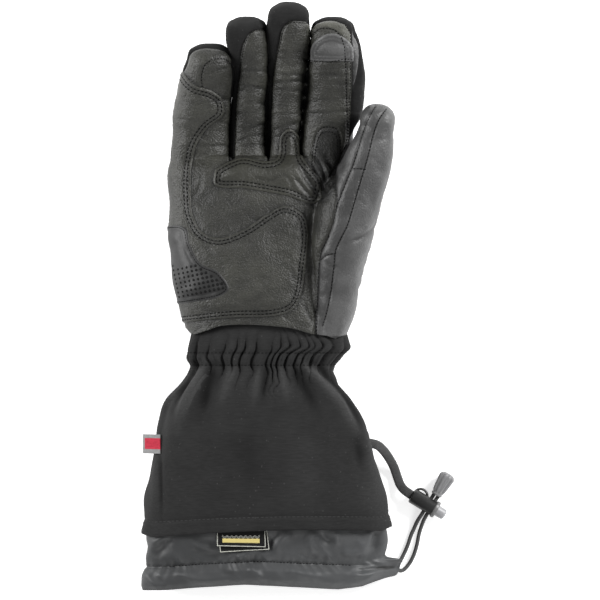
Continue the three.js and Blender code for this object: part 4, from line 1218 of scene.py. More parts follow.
palm_piece = make_panel(
    "palm_front", palm_shape, palm_edge, palm_leather, ["palm_leather"], palm_shade
)

back_values = back_shape[1]
back_edge = np.minimum(back_values["front"], back_values["thumb"])
side_press = 0.0009  # how far the finger sides swell towards each other
between_fingers = eased(back_values["place"][:, 1], crotch_y - 0.002, crotch_y + 0.006)
between_fingers *= eased(np.abs(back_values["normal"][:, 0]), 0.5, 0.9)
back_values["wrinkle"] = back_values["wrinkle"] * 0.5 + side_press * between_fingers
back_nodes = ["hand_back", "little_back", "ring_back", "middle_back", "index_back"]
back_piece = make_panel(
    "hand_back_cloth", back_shape, back_edge, softshell, back_nodes, np.ones(len(back_edge))
)

thumb_values = thumb_shape[1]
thumb_shade = leather_shade(thumb_values, thumb_values["thumb"])
strip_plan = np.concatenate([smooth_line(thumb_strip), thumb_line[::-1]])
in_strip = plan_field(strip_plan, thumb_values["place"][:, :2])
thumb_shade *= 1 - 0.3 * eased(in_strip, -0.0005, 0.0005) * (thumb_values["place"][:, 2] > finger_root_height)
thumb_piece = make_panel(
    "thumb_cover", thumb_shape, thumb_values["thumb"], thumb_leather, ["thumb_leather"],
    thumb_shade,
)

# Patches: cut leather pieces that lie on the palm, each sewn round with a double row. The side
# panel wraps the little-finger side and the heel, the knuckle patch crosses the finger roots,
# the heel patch is a smooth dotted film, and the touch tip covers the end of the index finger.
patch_thick, patch_gap = 0.001, 0.00015
row_places, row_width = (0.0019, 0.0039), 0.0007


def patch_relief(values, edge):
    under = values["crease"] * 0.7 + values["wrinkle"]
    rows = -0.0003 * sum(bell_curve(edge - place, row_width) for place in row_places)
    swell = 0.0005 * eased(edge, 0.004, 0.009)
    return under + rows + swell


def make_patch(name, field, lift, material, node, tone=1.0):
    """A patch where a field is above zero, at a lift above the panel, and its shape."""
    shape = kept(palm_and_back, field)
    faces, values = shape
    edge = values[field]
    rim = np.sqrt(np.clip(edge / 0.0012, 0.02, 1))
    outer = raised(values, lift + 0.0004 + patch_thick * rim + patch_relief(values, edge))
    inner = raised(values, lift - 0.0008 + values["crease"] * 0.7 + values["wrinkle"])
    # Painted shade in the creases and in the sunk stitch rows, painted light on the wrinkle crests and a
    # painted highlight on the raised rim just inside the edge.
    hollow, crest = np.clip(-values["crease"] / 0.0006, -0.5, 1), np.clip(values["wrinkle"] / 0.0006, -1, 1)
    lit = tone * (1 - 0.35 * hollow + 0.2 * crest)
    lit *= 1 - 0.45 * sum(bell_curve(edge - place, row_width) for place in row_places)
    lit *= (1 + 0.5 * bell_curve(edge - 0.0006, 0.0007)) * (1 + 0.25 * soft_noise(values["place"], 0.02, 52))
    piece = shell(name, shape, outer, inner, material, [("shade", np.clip(lit, 0.3, 1.5))])
    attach(piece, "glove")
    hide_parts(node)
    return piece, shape


side_piece, side_shape = make_patch(
    "side_panel_leather", "side", patch_gap, palm_leather, "side_panel", 1.2
)
knuckle_piece, knuckle_shape = make_patch(
    "knuckle_patch_leather", "knuckle", patch_gap, patch_leather, "knuckle_patch"
)
heel_piece, heel_shape = make_patch(
    "heel_patch_leather", "heel", patch_gap + patch_thick, smooth_leather, "heel_patch"
)
tip_piece, _ = make_patch(
    "index_touch_tip", "tip", patch_gap, thumb_leather, "index_tip", 1.25
)

# Stitches: dark polyester thread in lock stitch along the patches' double rows, the finger
# leather's edges and the thumb's seams. Each stitch is a short thread that dips in at its ends.
thread_material, thread_tree, thread_shader = new_material(
    "dark_thread", colour(8), 0.9, Specular_IOR_Level=0.1
)
thread_twist = object_texture(thread_tree, "ShaderNodeTexWave", 1400, bands_direction="DIAGONAL")
thread_twist.inputs["Distortion"].default_value = 0.5
add_bump(thread_tree, thread_shader, [(thread_twist.outputs["Fac"], 1.0)], 0.4, 0.0001)


def node_group(name, sockets):
    """An empty geometry tree with named inputs, its input and output nodes."""
    tree = bpy.data.node_groups.new(name, "GeometryNodeTree")
    tree.interface.new_socket("Geometry", in_out="OUTPUT", socket_type="NodeSocketGeometry")
    tree.interface.new_socket("Geometry", in_out="INPUT", socket_type="NodeSocketGeometry")
    for label, kind in sockets:
        tree.interface.new_socket(label, in_out="INPUT", socket_type=kind)
    return tree, add_node(tree, "NodeGroupInput"), add_node(tree, "NodeGroupOutput")


def wire(tree, rows):
    """Links from a node and its output to a node and its input, one for each row."""
    for source, output, target, socket in rows:
        tree.links.new(source.outputs[output], target.inputs[socket])


def plant(tree, points, thing, rotation, scale, finish, group_out):
    """Puts a thing on points, makes it real, shades it smooth and paints it."""
    put = add_node(tree, "GeometryNodeInstanceOnPoints")
    real = add_node(tree, "GeometryNodeRealizeInstances")
    soft = add_node(tree, "GeometryNodeSetShadeSmooth")
    paint = add_node(tree, "GeometryNodeSetMaterial")
    wire(tree, [
        (*points, put, "Points"), (thing, "Mesh", put, "Instance"), (*rotation, put, "Rotation"),
        (*scale, put, "Scale"), (put, "Instances", real, "Geometry"), (real, "Geometry", soft, "Geometry"),
        (soft, "Geometry", paint, "Geometry"), (*finish, paint, "Material"),
        (paint, "Geometry", group_out, "Geometry"),
    ])


def grown(name, points, edges, tree, inputs, vectors=(), values=()):
    """The plain mesh that a geometry tree grows on points and edges."""
    seed_mesh = bpy.data.meshes.new(name)
    seed_mesh.from_pydata(np.asarray(points).tolist(), edges, [])
    piece = bpy.data.objects.new(name, seed_mesh)
    bpy.context.collection.objects.link(piece)
    for label, rows in vectors:
        attribute = seed_mesh.attributes.new(label, "FLOAT_VECTOR", "POINT")
        attribute.data.foreach_set("vector", np.asarray(rows, np.float32).ravel())
    for label, row in values:
        set_values(piece, label, row)
    change = piece.modifiers.new("grow", "NODES")
    identifiers = {
        item.name: item.identifier for item in tree.interface.items_tree if item.in_out == "INPUT"
    }
    change.node_group = tree
    for label, value in inputs.items():
        change[identifiers[label]] = value
    finished(piece)
    return piece


stitch_tree, stitch_in, stitch_out = node_group("stitch_row", [
    ("Pitch", "NodeSocketFloat"), ("Length", "NodeSocketFloat"), ("Thickness", "NodeSocketFloat"),
    ("Thread", "NodeSocketMaterial"),
])
as_curve = add_node(stitch_tree, "GeometryNodeMeshToCurve")
stops = add_node(stitch_tree, "GeometryNodeCurveToPoints", mode="LENGTH")
stitch_ball = add_node(stitch_tree, "GeometryNodeMeshUVSphere", {"Segments": 8, "Rings": 6, "Radius": 0.5})
stitch_size = add_node(stitch_tree, "ShaderNodeCombineXYZ")
stitch_loose = add_node(stitch_tree, "FunctionNodeRandomValue", {"Seed": 7}, data_type="FLOAT_VECTOR")
stitch_loose.inputs[0].default_value = (0.85, 0.85, 0.88)
stitch_loose.inputs[1].default_value = (1.15, 1.15, 1.06)
stitch_scale = add_node(stitch_tree, "ShaderNodeVectorMath", operation="MULTIPLY")
wire(stitch_tree, [
    (stitch_in, "Geometry", as_curve, "Mesh"), (as_curve, "Curve", stops, "Curve"),
    (stitch_in, "Pitch", stops, "Length"), (stitch_in, "Thickness", stitch_size, "X"),
    (stitch_in, "Thickness", stitch_size, "Y"), (stitch_in, "Length", stitch_size, "Z"),
    (stitch_size, "Vector", stitch_scale, 0), (stitch_loose, 0, stitch_scale, 1),
])
plant(stitch_tree, (stops, "Points"), stitch_ball, (stops, "Rotation"), (stitch_scale, "Vector"),
      (stitch_in, "Thread"), stitch_out)


def sew(name, lines, pitch=0.0025, length=0.0019, thickness=0.00068, thread=None):
    """A piece of stitches along lines of points in space."""
    points, edges = [], []
    for line in lines:
        start = len(points)
        points += [tuple(point) for point in line]
        edges += [(start + k, start + k + 1) for k in range(len(line) - 1)]
    piece = grown(name, points, edges, stitch_tree, {
        "Pitch": pitch, "Length": length, "Thickness": thickness, "Thread": thread or thread_material,
    })
    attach(piece, "glove")
    return piece


line_step, ray_height = 0.0006, 0.2


def level_lines(piece, shape, field, level, lift=0.0001):
    """Lines in space where a field of a piece's outer skin has one level."""
    faces = shape[0]
    count = len(field)
    points, normals = (rows[:count] for rows in mesh_arrays(piece.data)[:2])
    above = field > level
    crossing, joined = {}, {}
    for face in faces:
        high = [bool(above[corner]) for corner in face]
        if all(high) or not any(high):
            continue
        keys = []
        for one, two in zip(face, face[1:] + face[:1]):
            if above[one] != above[two]:
                key = (min(one, two), max(one, two))
                part = (level - field[key[0]]) / (field[key[1]] - field[key[0]])
                crossing[key] = (
                    points[key[0]] * (1 - part) + points[key[1]] * part + normals[key[0]] * lift
                )
                keys.append(key)
        for one, two in zip(keys[::2], keys[1::2]):
            joined.setdefault(one, []).append(two)
            joined.setdefault(two, []).append(one)
    lines, seen = [], set()
    starts = sorted(joined, key=lambda key: (len(joined[key]), key))
    for first in starts:
        if first in seen:
            continue
        chain, here = [], first
        while here is not None:
            seen.add(here)
            chain.append(crossing[here])
            here = next((key for key in joined[here] if key not in seen), None)
        if len(chain) > 8:
            line = np.array(chain)
            for _ in range(3):
                line[1:-1] = (line[:-2] + 2 * line[1:-1] + line[2:]) / 4
            lines.append(spaced(line, line_step))
    return lines


def laid_on(pieces, line, lift=0.0001):
    """A line in plan laid down on the highest of some pieces, as lines in space."""
    graph = bpy.context.evaluated_depsgraph_get()
    trees = [BVHTree.FromObject(piece, graph) for piece in pieces]
    parts, part = [], []
    for place in spaced(line, line_step):
        hits = [tree.ray_cast((*place, ray_height), (0, 0, -1)) for tree in trees]
        hits = [hit for hit in hits if hit[0] is not None]
        if not hits:
            parts.append(part)
            part = []
            continue
        top = max(hits, key=lambda hit: hit[0].z)
        part.append(np.array(top[0]) + lift * np.array(top[1]))
    parts.append(part)
    return [np.array(piece_part) for piece_part in parts if len(piece_part) > 4]


patch_rows = []
for piece, shape, field in [
    (side_piece, side_shape, "side"), (knuckle_piece, knuckle_shape, "knuckle"),
]:
    for place in row_places:
        patch_rows += level_lines(piece, shape, shape[1][field], place)
sew("patch_stitches", patch_rows)
sew("heel_patch_stitches", level_lines(heel_piece, heel_shape, heel_shape[1]["heel"], 0.0017),
    0.0017, 0.0015, 0.0005)
finger_rows = [
    line for line in level_lines(palm_piece, palm_shape, palm_values["front"], 0.0012)
    if line[:, 1].max() > crotch_y + 0.02
]
sew("finger_stitches", finger_rows, 0.0019, 0.0014, 0.0005)
hand_pieces = [palm_piece, thumb_piece, side_piece, knuckle_piece, tip_piece]
seam_rows = []
for line in (little_tip_seam, index_tip_seam, index_cross_seam, index_side_seam, index_tab_seam):
    seam_rows += laid_on(hand_pieces, smooth_line(line))
inner_tab = smooth_line(index_tab_seam)
tab_middle = metres((37.5, 93))
seam_rows += laid_on(hand_pieces, tab_middle + (inner_tab - tab_middle) * 0.8)
sew("index_stitches", seam_rows, 0.002, 0.0015, 0.00055)
thumb_rows = []
for line in (thumb_strip, thumb_upper_seam, *thumb_cross_seams):
    thumb_rows += laid_on(hand_pieces, smooth_line(line))
strip_side, strip_gap = slice(48, -12), (0.0008, 0)  # the part of the seam beside the strip
thumb_rows += laid_on(hand_pieces, thumb_line[strip_side] + strip_gap)
sew("thumb_stitches", thumb_rows, 0.0021, 0.0019, 0.0005)

# Grip dots: low rubber domes printed in rows on the lower half of the heel patch.
dot_pitch, dot_turn, dot_edge, dot_limit_y = 0.00285, 0.2, 0.0032, 0.0215
dot_tree, dot_in, dot_out = node_group("grip_dots", [
    ("Height", "NodeSocketFloat"), ("Rubber", "NodeSocketMaterial"),
])
dot_ball = add_node(dot_tree, "GeometryNodeMeshUVSphere", {"Segments": 16, "Rings": 8, "Radius": 0.5})
read_named = "GeometryNodeInputNamedAttribute"
dot_normal = add_node(dot_tree, read_named, {"Name": "upward"}, data_type="FLOAT_VECTOR")
dot_width = add_node(dot_tree, read_named, {"Name": "width"}, data_type="FLOAT")
dot_turned = add_node(dot_tree, "FunctionNodeAlignRotationToVector", axis="Z")
dot_scale = add_node(dot_tree, "ShaderNodeCombineXYZ")
wire(dot_tree, [
    (dot_normal, "Attribute", dot_turned, "Vector"), (dot_width, "Attribute", dot_scale, "X"),
    (dot_width, "Attribute", dot_scale, "Y"), (dot_in, "Height", dot_scale, "Z"),
])
plant(dot_tree, (dot_in, "Geometry"), dot_ball, (dot_turned, "Rotation"), (dot_scale, "Vector"),
      (dot_in, "Rubber"), dot_out)
dot_rubber = plastic("grip_rubber", colour(6), 0.7, Specular_IOR_Level=0.2)
step_along = dot_pitch * np.array([math.cos(dot_turn), math.sin(dot_turn)])
step_up = dot_pitch * np.array([-math.sin(dot_turn), math.cos(dot_turn)])
spots = np.array([
    metres((-58, 1)) + column * step_along + row * step_up for row in range(-2, 9) for column in range(13)
])
dot_room = plan_field(heel_plan, spots)
spots, dot_room = (rows[(dot_room > dot_edge) & (spots[:, 1] < dot_limit_y)] for rows in (spots, dot_room))
heel_tree = BVHTree.FromObject(heel_piece, bpy.context.evaluated_depsgraph_get())
dot_hits = [heel_tree.ray_cast((*spot, ray_height), (0, 0, -1)) for spot in spots]
dot_hits = [hit for hit in dot_hits if hit[0] is not None and hit[1].z > 0.15]
dot_widths = [0.0015 + 0.0005 * min(1, max(0, (hit[0].x + 0.055) / 0.02)) for hit in dot_hits]
dots = grown(
    "heel_patch_dots", [tuple(hit[0]) for hit in dot_hits], [], dot_tree,
    {"Height": 0.0009, "Rubber": dot_rubber},
    [("upward", [tuple(hit[1]) for hit in dot_hits])], [("width", dot_widths)],
)
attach(dots, "glove")

# Gauntlet: a long softshell sleeve, sewn inside the hand's lower edge, gathered over the wrist
# by two rows of elastic and flared to a turned hem. One woven wall, 2 mm thick with its backing.
gauntlet_length, hem_width, hem_thick, gauntlet_centre = 0.128, 0.157, 0.045, -0.0003
gauntlet_wall, hem_slant, hem_bow, hem_corner = 0.0018, 0.0022, 0.0032, 0.0028
gauntlet_rows = np.array([  # along, left, right, low, high as shares, flare fold as a weight
    (-0.09, 0.57, 0.645, 0.06, 0.86, 0), (0, 0.6, 0.645, 0.06, 0.87, 0), (0.05, 0.615, 0.66, 0.07, 0.88, 0),
    (0.085, 0.625, 0.665, 0.09, 0.88, 0), (0.125, 0.635, 0.6, 0.1, 0.86, 0),
    (0.183, 0.61, 0.535, 0.12, 0.84, 0.1),
    (0.25, 0.68, 0.565, 0.09, 0.9, 0.6), (0.33, 0.805, 0.67, 0.04, 0.97, 1),
    (0.44, 0.87, 0.78, 0.02, 1.0, 0.85), (0.6, 0.9, 0.84, 0, 0.99, 0.45), (0.7, 0.93, 0.895, 0, 0.96, 0.25),
    (0.82, 0.985, 0.96, 0, 0.92, 0.1), (0.93, 0.985, 0.985, 0, 0.88, 0), (1, 1, 1, 0, 0.84, 0),
])
gauntlet_sides, wrist_rings, flare_rings = 440, 90, 80
fold_depth = 0.0032
flare_folds = [  # place round the sleeve, its turn along it, width, depth as a share
    (0.05, -0.015, 0.02, 1), (0.11, -0.03, 0.018, -0.6), (0.36, 0.03, 0.02, -0.5), (0.41, 0.03, 0.018, 0.8),
    (0.455, 0.02, 0.018, -0.8), (0.62, 0, 0.02, -0.6), (0.86, 0, 0.02, -0.6),
]
gauntlet_folds = [  # height and width in mm, then points in plan in mm: soft folds on the upper side
    (3.2, 3, [(-38, -40), (-45, -52), (-51, -66), (-55, -84)]),
    (-2.4, 2.8, [(-43, -42), (-51, -54), (-58, -70)]),
    (2.4, 2.4, [(-46, -45), (-56, -54), (-64, -64)]), (-1.8, 4, [(-33, -42), (-38, -56), (-42, -74)]),
    (3.4, 3, [(21, -40), (34, -50), (46, -66), (57, -90)]),
    (-2.8, 3, [(29, -41), (42, -55), (54, -71), (62, -88)]),
    (2.6, 2.6, [(38, -44), (50, -58), (62, -74)]), (-1.6, 4, [(16, -42), (26, -58), (34, -74)]),
    (2, 3, [(60, -80), (63, -92), (66, -104)]), (-1.4, 3, [(55, -84), (58, -98), (60, -112)]),
    (1.3, 3.4, [(-4, -41), (-6, -54), (-9, -70)]), (-1.4, 3, [(-1, -41), (-2, -53), (-4, -66)]),
    (1.1, 3, [(8, -41), (11, -54), (14, -68)]), (1.2, 3, [(-20, -41), (-25, -54), (-30, -70)]),
    (-0.9, 1.4, [(-66.5, -96), (-66, -115), (-66, -140)]), (0.7, 3, [(-70, -100), (-71, -116), (-72, -138)]),
    (0.8, 8, [(60, -96), (66, -116), (68, -136)]),
    (-0.6, 9, [(-20, -80), (-10, -104), (-14, -128)]), (0.6, 10, [(18, -84), (24, -108), (20, -132)]),
]
gather_count, gather_depth = 34, 0.0024
elastic_rows = (0.105, 0.165)
hem_row, hem_line_depth = 0.928, 0.0005
rng = np.random.default_rng(5)
gather_widths = rng.uniform(0.5, 1.6, gather_count)
gather_edges = np.concatenate([[0], np.cumsum(gather_widths)]) / gather_widths.sum()
gather_strength = rng.uniform(0.4, 1.25, gather_count)
gather_end = rng.uniform(0.23, 0.4, gather_count)
gather_split = rng.uniform(0.2, 0.9, gather_count)


def gathers(around, along):
    """Height of the gathers, at a share of the way round and along the gauntlet."""
    drift = soft_noise(np.stack([around * 14, along * 22, 0 * around], 1), 1.0, 11) * 0.016
    moved = (around + drift) % 1
    fold = np.clip(np.searchsorted(gather_edges, moved) - 1, 0, gather_count - 1)
    part = (moved - gather_edges[fold]) / (gather_edges[fold + 1] - gather_edges[fold])
    ridge = 1.7 * np.abs(np.sin(np.pi * part)) ** 0.75 - 1
    between = bell_curve(along - sum(elastic_rows) / 2, 0.028)
    ridge += gather_split[fold] * between * (np.abs(np.sin(2 * np.pi * part)) - 0.5)
    rows = 0.5 + 0.55 * bell_curve(along - sum(elastic_rows) / 2, 0.075)
    fade = eased(along, -0.03, 0.08) * (1 - eased(along, gather_end[fold] - 0.17, gather_end[fold]))
    pinch = -0.14 * sum(bell_curve(along - row, 0.012) for row in elastic_rows)
    return ridge * gather_strength[fold] * rows * fade + pinch


def sleeve_rings(alongs, inset, section, down):
    """Places and outward directions on the rings of a sleeve."""
    places, outwards = [], []
    for along in alongs:
        left, right, low, high = section(along)
        ring = section_ring(left + inset, right - inset, low + inset, high - inset, gauntlet_sides)
        ahead = np.roll(ring, -1, 0) - np.roll(ring, 1, 0)
        outward = np.stack([ahead[:, 1], 0 * ahead[:, 0], -ahead[:, 0]], 1)
        places.append(np.stack([ring[:, 0], down(along, ring[:, 0]), ring[:, 1]], 1))
        outwards.append(outward / np.linalg.norm(outward, axis=1)[:, None])
    return np.concatenate(places), np.concatenate(outwards)


def shared_section(rows, along):
    left, right, low, high = smooth_rows(rows, np.array([along]))[0][:4]
    return (
        gauntlet_centre - left * hem_width / 2, gauntlet_centre + right * hem_width / 2,
        low * hem_thick, high * hem_thick,
    )


def gauntlet_section(along):
    return shared_section(gauntlet_rows, along)


def gauntlet_down(along, across):
    share = (across - gauntlet_centre) / (hem_width / 2)
    bowed = hem_slant * share + hem_bow * (1 - share**2) + hem_corner * eased(np.abs(share), 0.9, 1.02)
    return wrist_y - along * gauntlet_length + bowed * max(along, 0) ** 3


def plan_folds(table, places, upward):
    """Height of soft folds along lines in plan, on the side that faces up."""
    total = np.zeros(len(places))
    for height, width, points in table:
        line = smooth_line(metres(points), 0.004)
        near = np.flatnonzero(upward > 0.2)
        distance, share = line_distance(line, places[near, :2])
        fade = eased(share, 0, 0.2) * (1 - eased(share, 0.55, 1)) + 0.25
        facing = eased(upward[near], 0.2, 0.6)
        total[near] += height / 1000 * bell_curve(distance, width / 1000) * fade * facing
    return total


def gauntlet_height(places, outwards, alongs):
    around = np.tile(np.arange(gauntlet_sides) / gauntlet_sides, len(alongs))
    along = np.repeat(alongs, gauntlet_sides)
    weight = np.repeat([smooth_rows(gauntlet_rows, np.array([a]))[0][4] for a in alongs], gauntlet_sides)
    flare = sum(
        depth * bell_curve((around - place - turn * along + 0.5) % 1 - 0.5, width)
        for place, turn, width, depth in flare_folds
    )
    hem = 0.0005 * eased(along, hem_row, hem_row + 0.015)
    hem -= hem_line_depth * bell_curve(along - hem_row, 0.008)
    hem += 0.0006 * bell_curve(along - 0.985, 0.02)
    wave = soft_noise(places, 0.03, 21) * 0.0009 + soft_noise(places, 0.011, 22) * 0.0003
    wave *= eased(along, 0.15, 0.3)
    return (
        gather_depth * gathers(around, along) + fold_depth * weight * flare + hem + wave
        + plan_folds(gauntlet_folds, places, outwards[:, 2])
    )


def sleeve(name, outer, inner, material, shade):
    """A closed sleeve from its outer and its inner rings, both from the top down."""
    sides = gauntlet_sides
    inner = inner.reshape(-1, sides, 3)[::-1].reshape(-1, 3)
    shade = np.concatenate([shade, shade.reshape(-1, sides)[::-1].ravel()])
    points = lay_down(np.concatenate([outer, inner]))
    outward_order = [0, 3, 2, 1]
    faces = ring_faces(len(points) // sides, sides, 0)[:, outward_order]
    piece = new_piece(name, points, faces, material)
    set_values(piece, "shade", shade)
    return piece


gauntlet_alongs = np.concatenate([np.linspace(-0.09, 0.36, wrist_rings), np.linspace(0.367, 1, flare_rings)])
gauntlet_places, gauntlet_outwards = sleeve_rings(gauntlet_alongs, 0, gauntlet_section, gauntlet_down)
gauntlet_rise = gauntlet_height(gauntlet_places, gauntlet_outwards, gauntlet_alongs)
inner_places, inner_outwards = sleeve_rings(gauntlet_alongs, gauntlet_wall, gauntlet_section, gauntlet_down)
gauntlet_cloth = woven_material("gauntlet_softshell", 35, 0.9, 1.2)
# Painted shade and painted light on the gauntlet: darker in the gathers' hollows and lighter on their ridges
# near the wrist, lighter on the soft folds' crests and darker in their hollows, and painted light towards
# both sides where the cloth turns away.
gauntlet_painted_shade = 1 + 0.22 * np.clip(gauntlet_rise / 0.0025, -1.4, 1) * (
    1 - eased(np.repeat(gauntlet_alongs, gauntlet_sides), 0.2, 0.42)
)
fold_light = plan_folds(gauntlet_folds, gauntlet_places, gauntlet_outwards[:, 2])
gauntlet_painted_shade *= 1 + 0.9 * np.clip(fold_light / 0.0028, -0.8, 1)
gauntlet_painted_shade *= 1 + 0.25 * eased(np.abs(gauntlet_places[:, 0]), 0.045, 0.075)
gauntlet = sleeve(
    "gauntlet_cloth", gauntlet_places + gauntlet_outwards * gauntlet_rise[:, None],
    inner_places + inner_outwards * gauntlet_rise[:, None], gauntlet_cloth, gauntlet_painted_shade,
)
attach(gauntlet, "glove")
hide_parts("gauntlet")
gauntlet_thread, _, _ = new_material("hem_thread", colour(40), 0.8)


def line_round(along, lift):
    """A closed line round the gauntlet at a place along it, lifted off its cloth."""
    places, outwards = sleeve_rings([along], 0, gauntlet_section, gauntlet_down)
    rise = gauntlet_height(places, outwards, np.array([along]))
    ring = places + outwards * (rise + lift)[:, None]
    return np.concatenate([ring, ring[:1]])


hem_line = lay_down(line_round(hem_row, 0.0001))
sew("hem_stitches", [hem_line], 0.0028, 0.002, 0.00045, gauntlet_thread)
elastic_thread = [line_round(row, 0.00005) for row in elastic_rows]
sew("elastic_stitches", elastic_thread, 0.0026, 0.0019, 0.00045)

# Inner cuff: a thin nylon sleeve inside the gauntlet that shows below its hem, turned up into
# a channel for the drawcord, with one corner of it drawn out by the cord.
hem_y, cuff_wall, cuff_gap = -0.148, 0.0006, 0.0008
cuff_rows = np.array([  # along, left, right, low, high as shares
    (0, 0.96, 0.96, 0.03, 0.75), (0.16, 0.95, 0.965, 0.05, 0.7), (0.4, 0.975, 0.955, 0.02, 0.665),
    (0.55, 0.97, 0.945, 0.01, 0.63), (0.72, 1.0, 1.04, 0, 0.65), (0.86, 1.01, 1.0, 0, 0.64),
    (1, 1.015, 0.96, 0, 0.58),
])
cuff_mouth = metres([  # the lower edge in plan
    (-84, -184.3), (-62, -183.2), (-45, -181.6), (-14, -179.6), (20, -181.2), (45, -182.7), (60, -181),
    (72, -176.5), (84, -172),
])
channel_line = metres([
    (-82, -169.4), (-61, -168.4), (-42, -166.6), (-17, -165.2), (-1, -164.8), (21, -166), (52, -167.4),
    (84, -167.6),
])
cuff_folds = [  # height and width in mm, then points in plan in mm
    (1.6, 3.6, [(15, -143), (8, -152), (2, -161)]), (-1.5, 3.6, [(9, -144), (3, -151), (-3, -157)]),
    (1.2, 2.6, [(30, -144), (27, -152), (33, -161)]), (-1.2, 2.4, [(34, -145), (37, -151), (45, -153)]),
    (1.1, 2.4, [(39, -143), (44, -149), (42, -156)]), (1.8, 4, [(66, -143), (62, -152), (56, -163)]),
    (-1.4, 3, [(70, -145), (68, -154), (66, -163)]), (1.5, 3, [(-63, -146), (-68, -152), (-75, -159)]),
    (-1.3, 3.2, [(-58, -148), (-66, -157), (-72, -164)]), (0.9, 2.6, [(-50, -150), (-40, -156), (-28, -157)]),
    (-0.9, 3, [(-48, -157), (-34, -161), (-20, -160)]), (0.9, 2.4, [(-20, -163), (-12, -160), (-6, -155)]),
    (0.8, 2.6, [(46, -158), (54, -160), (64, -158)]), (-0.8, 2.2, [(18, -158), (26, -162), (36, -163)]),
    (1, 2.6, [(-60, -171), (-44, -176), (-28, -178)]), (-0.8, 2.6, [(-30, -170), (-22, -173), (-10, -176)]),
    (1, 2.4, [(-12, -167), (-6, -172), (-2, -178)]), (0.9, 2.6, [(10, -168), (24, -173), (40, -174)]),
    (1.1, 2.2, [(52, -174), (62, -173), (76, -169)]), (-1.2, 2, [(56, -171), (66, -170.5), (76, -168)]),
    (0.9, 2.2, [(50, -179), (60, -177), (72, -172)]), (-0.7, 2.2, [(-74, -172), (-70, -176), (-62, -180)]),
]
puckers = 58
eyelet_place, eyelet_size = metres((72.4, -169.7)), metres((5.2, 1.5))
corner_place, corner_height = metres((80, -171.2)), 0.006
corner_reach, corner_pull, corner_pinch = 0.009, 0.0058, 0.9


def cuff_section(along):
    if along >= 0:
        return shared_section(cuff_rows, along)
    left, right, low, high = shared_section(gauntlet_rows, 1 + along)
    room = gauntlet_wall + cuff_gap
    ending = float(eased(np.array([-along]), 0, 0.16)[0])
    lower = high - (0.84 - 0.75) * hem_thick * (1 - 0.35 * ending)
    return left + room, right - room, low + 0.03 * hem_thick, lower


def cuff_down(along, across):
    slant = hem_slant * (across - gauntlet_centre) / (hem_width / 2)
    top = hem_y + slant
    if along < 0:
        return hem_y - along * gauntlet_length + slant * (1 + along) ** 2
    bottom = np.interp(across, cuff_mouth[:, 0], cuff_mouth[:, 1])
    return top + (bottom - top) * along


def eyelet_share(places):
    """Distance from the eyelet's middle, as a share of its size."""
    return np.hypot(*((places[:, :2] - eyelet_place) / eyelet_size).T)


def cuff_height(places, outwards, alongs):
    around = np.tile(np.arange(gauntlet_sides) / gauntlet_sides, len(alongs))
    along = np.repeat(alongs, gauntlet_sides)
    show = eased(along, -0.12, 0.08)
    below = places[:, 1] - np.interp(places[:, 0], channel_line[:, 0], channel_line[:, 1])
    drift = soft_noise(np.stack([around * 30, 0 * around, 0 * around], 1), 1.0, 31) * 0.3
    pucker = np.sin(2 * np.pi * (puckers * around + drift)) * (0.6 + 0.4 * np.sin(2 * np.pi * 7 * around + 1))
    channel = -0.0007 * bell_curve(below, 0.0011) + 0.00035 * pucker * bell_curve(below, 0.005)
    puff = 0.0009 * eased(-below, 0.001, 0.006) * (1 - eased(-below, 0.011, 0.016))
    turn = places[:, :2] @ np.array([[0.8, -0.6], [0.6, 0.8]])
    crossed = np.stack([turn[:, 0] / 0.011, turn[:, 1] / 0.028, places[:, 2] / 0.02], 1)
    ridged = 0.45 - np.abs(soft_noise(crossed, 1.0, 33))
    crumple = ridged * 0.0018 + soft_noise(places, 0.02, 34) * 0.0012
    fine = (0.4 - np.abs(soft_noise(places, 0.007, 35))) * 0.00028
    hollow = -0.0016 * bell_curve(eyelet_share(places), 1) * (outwards[:, 2] > 0.1)
    return show * (channel + puff + crumple + fine + hollow + plan_folds(cuff_folds, places, outwards[:, 2]))


def drawn_corner(places):
    """Places with the corner pinched together and drawn out where the drawcord leaves it."""
    pull = bell_curve(np.hypot(*(places[:, :2] - corner_place).T), corner_reach)
    moved = places.copy()
    moved[:, 0] += corner_pull * pull
    moved[:, 2] += (corner_height - places[:, 2]) * corner_pinch * pull
    return moved


def nylon_material(name, level, tint):
    """Thin coated nylon: half glossy, with a ripstop-fine weave and a faint cloudy mottle."""
    material, tree, shader = new_material(name, colour(level, tint), 0.5, Specular_IOR_Level=0.42)
    cloud = noise(tree, 70)
    shade_by_light(tree, shader, colour(level, tint), ranged(tree, cloud, 0.82, 1.18))
    weave = object_texture(tree, "ShaderNodeTexVoronoi", 3200)
    crush = noise(tree, 300)
    add_bump(tree, shader, [(weave.outputs["Distance"], 0.2), (crush, 0.5)], 0.3, 0.0002)
    tree.links.new(ranged(tree, crush, 0.46, 0.62), shader.inputs["Roughness"])
    return material


cuff_nylon = nylon_material("cuff_nylon", 50, (-1, 0, 1))
cuff_alongs = np.concatenate([np.linspace(-0.3, -0.02, 24), np.linspace(0, 1, 90)])
cuff_places, cuff_outwards = sleeve_rings(cuff_alongs, 0, cuff_section, cuff_down)
cuff_rise = cuff_height(cuff_places, cuff_outwards, cuff_alongs)
cuff_inner, cuff_inner_outwards = sleeve_rings(cuff_alongs, cuff_wall, cuff_section, cuff_down)
in_eyelet = eyelet_share(cuff_places)
in_eyelet[cuff_outwards[:, 2] < 0.1] = 9
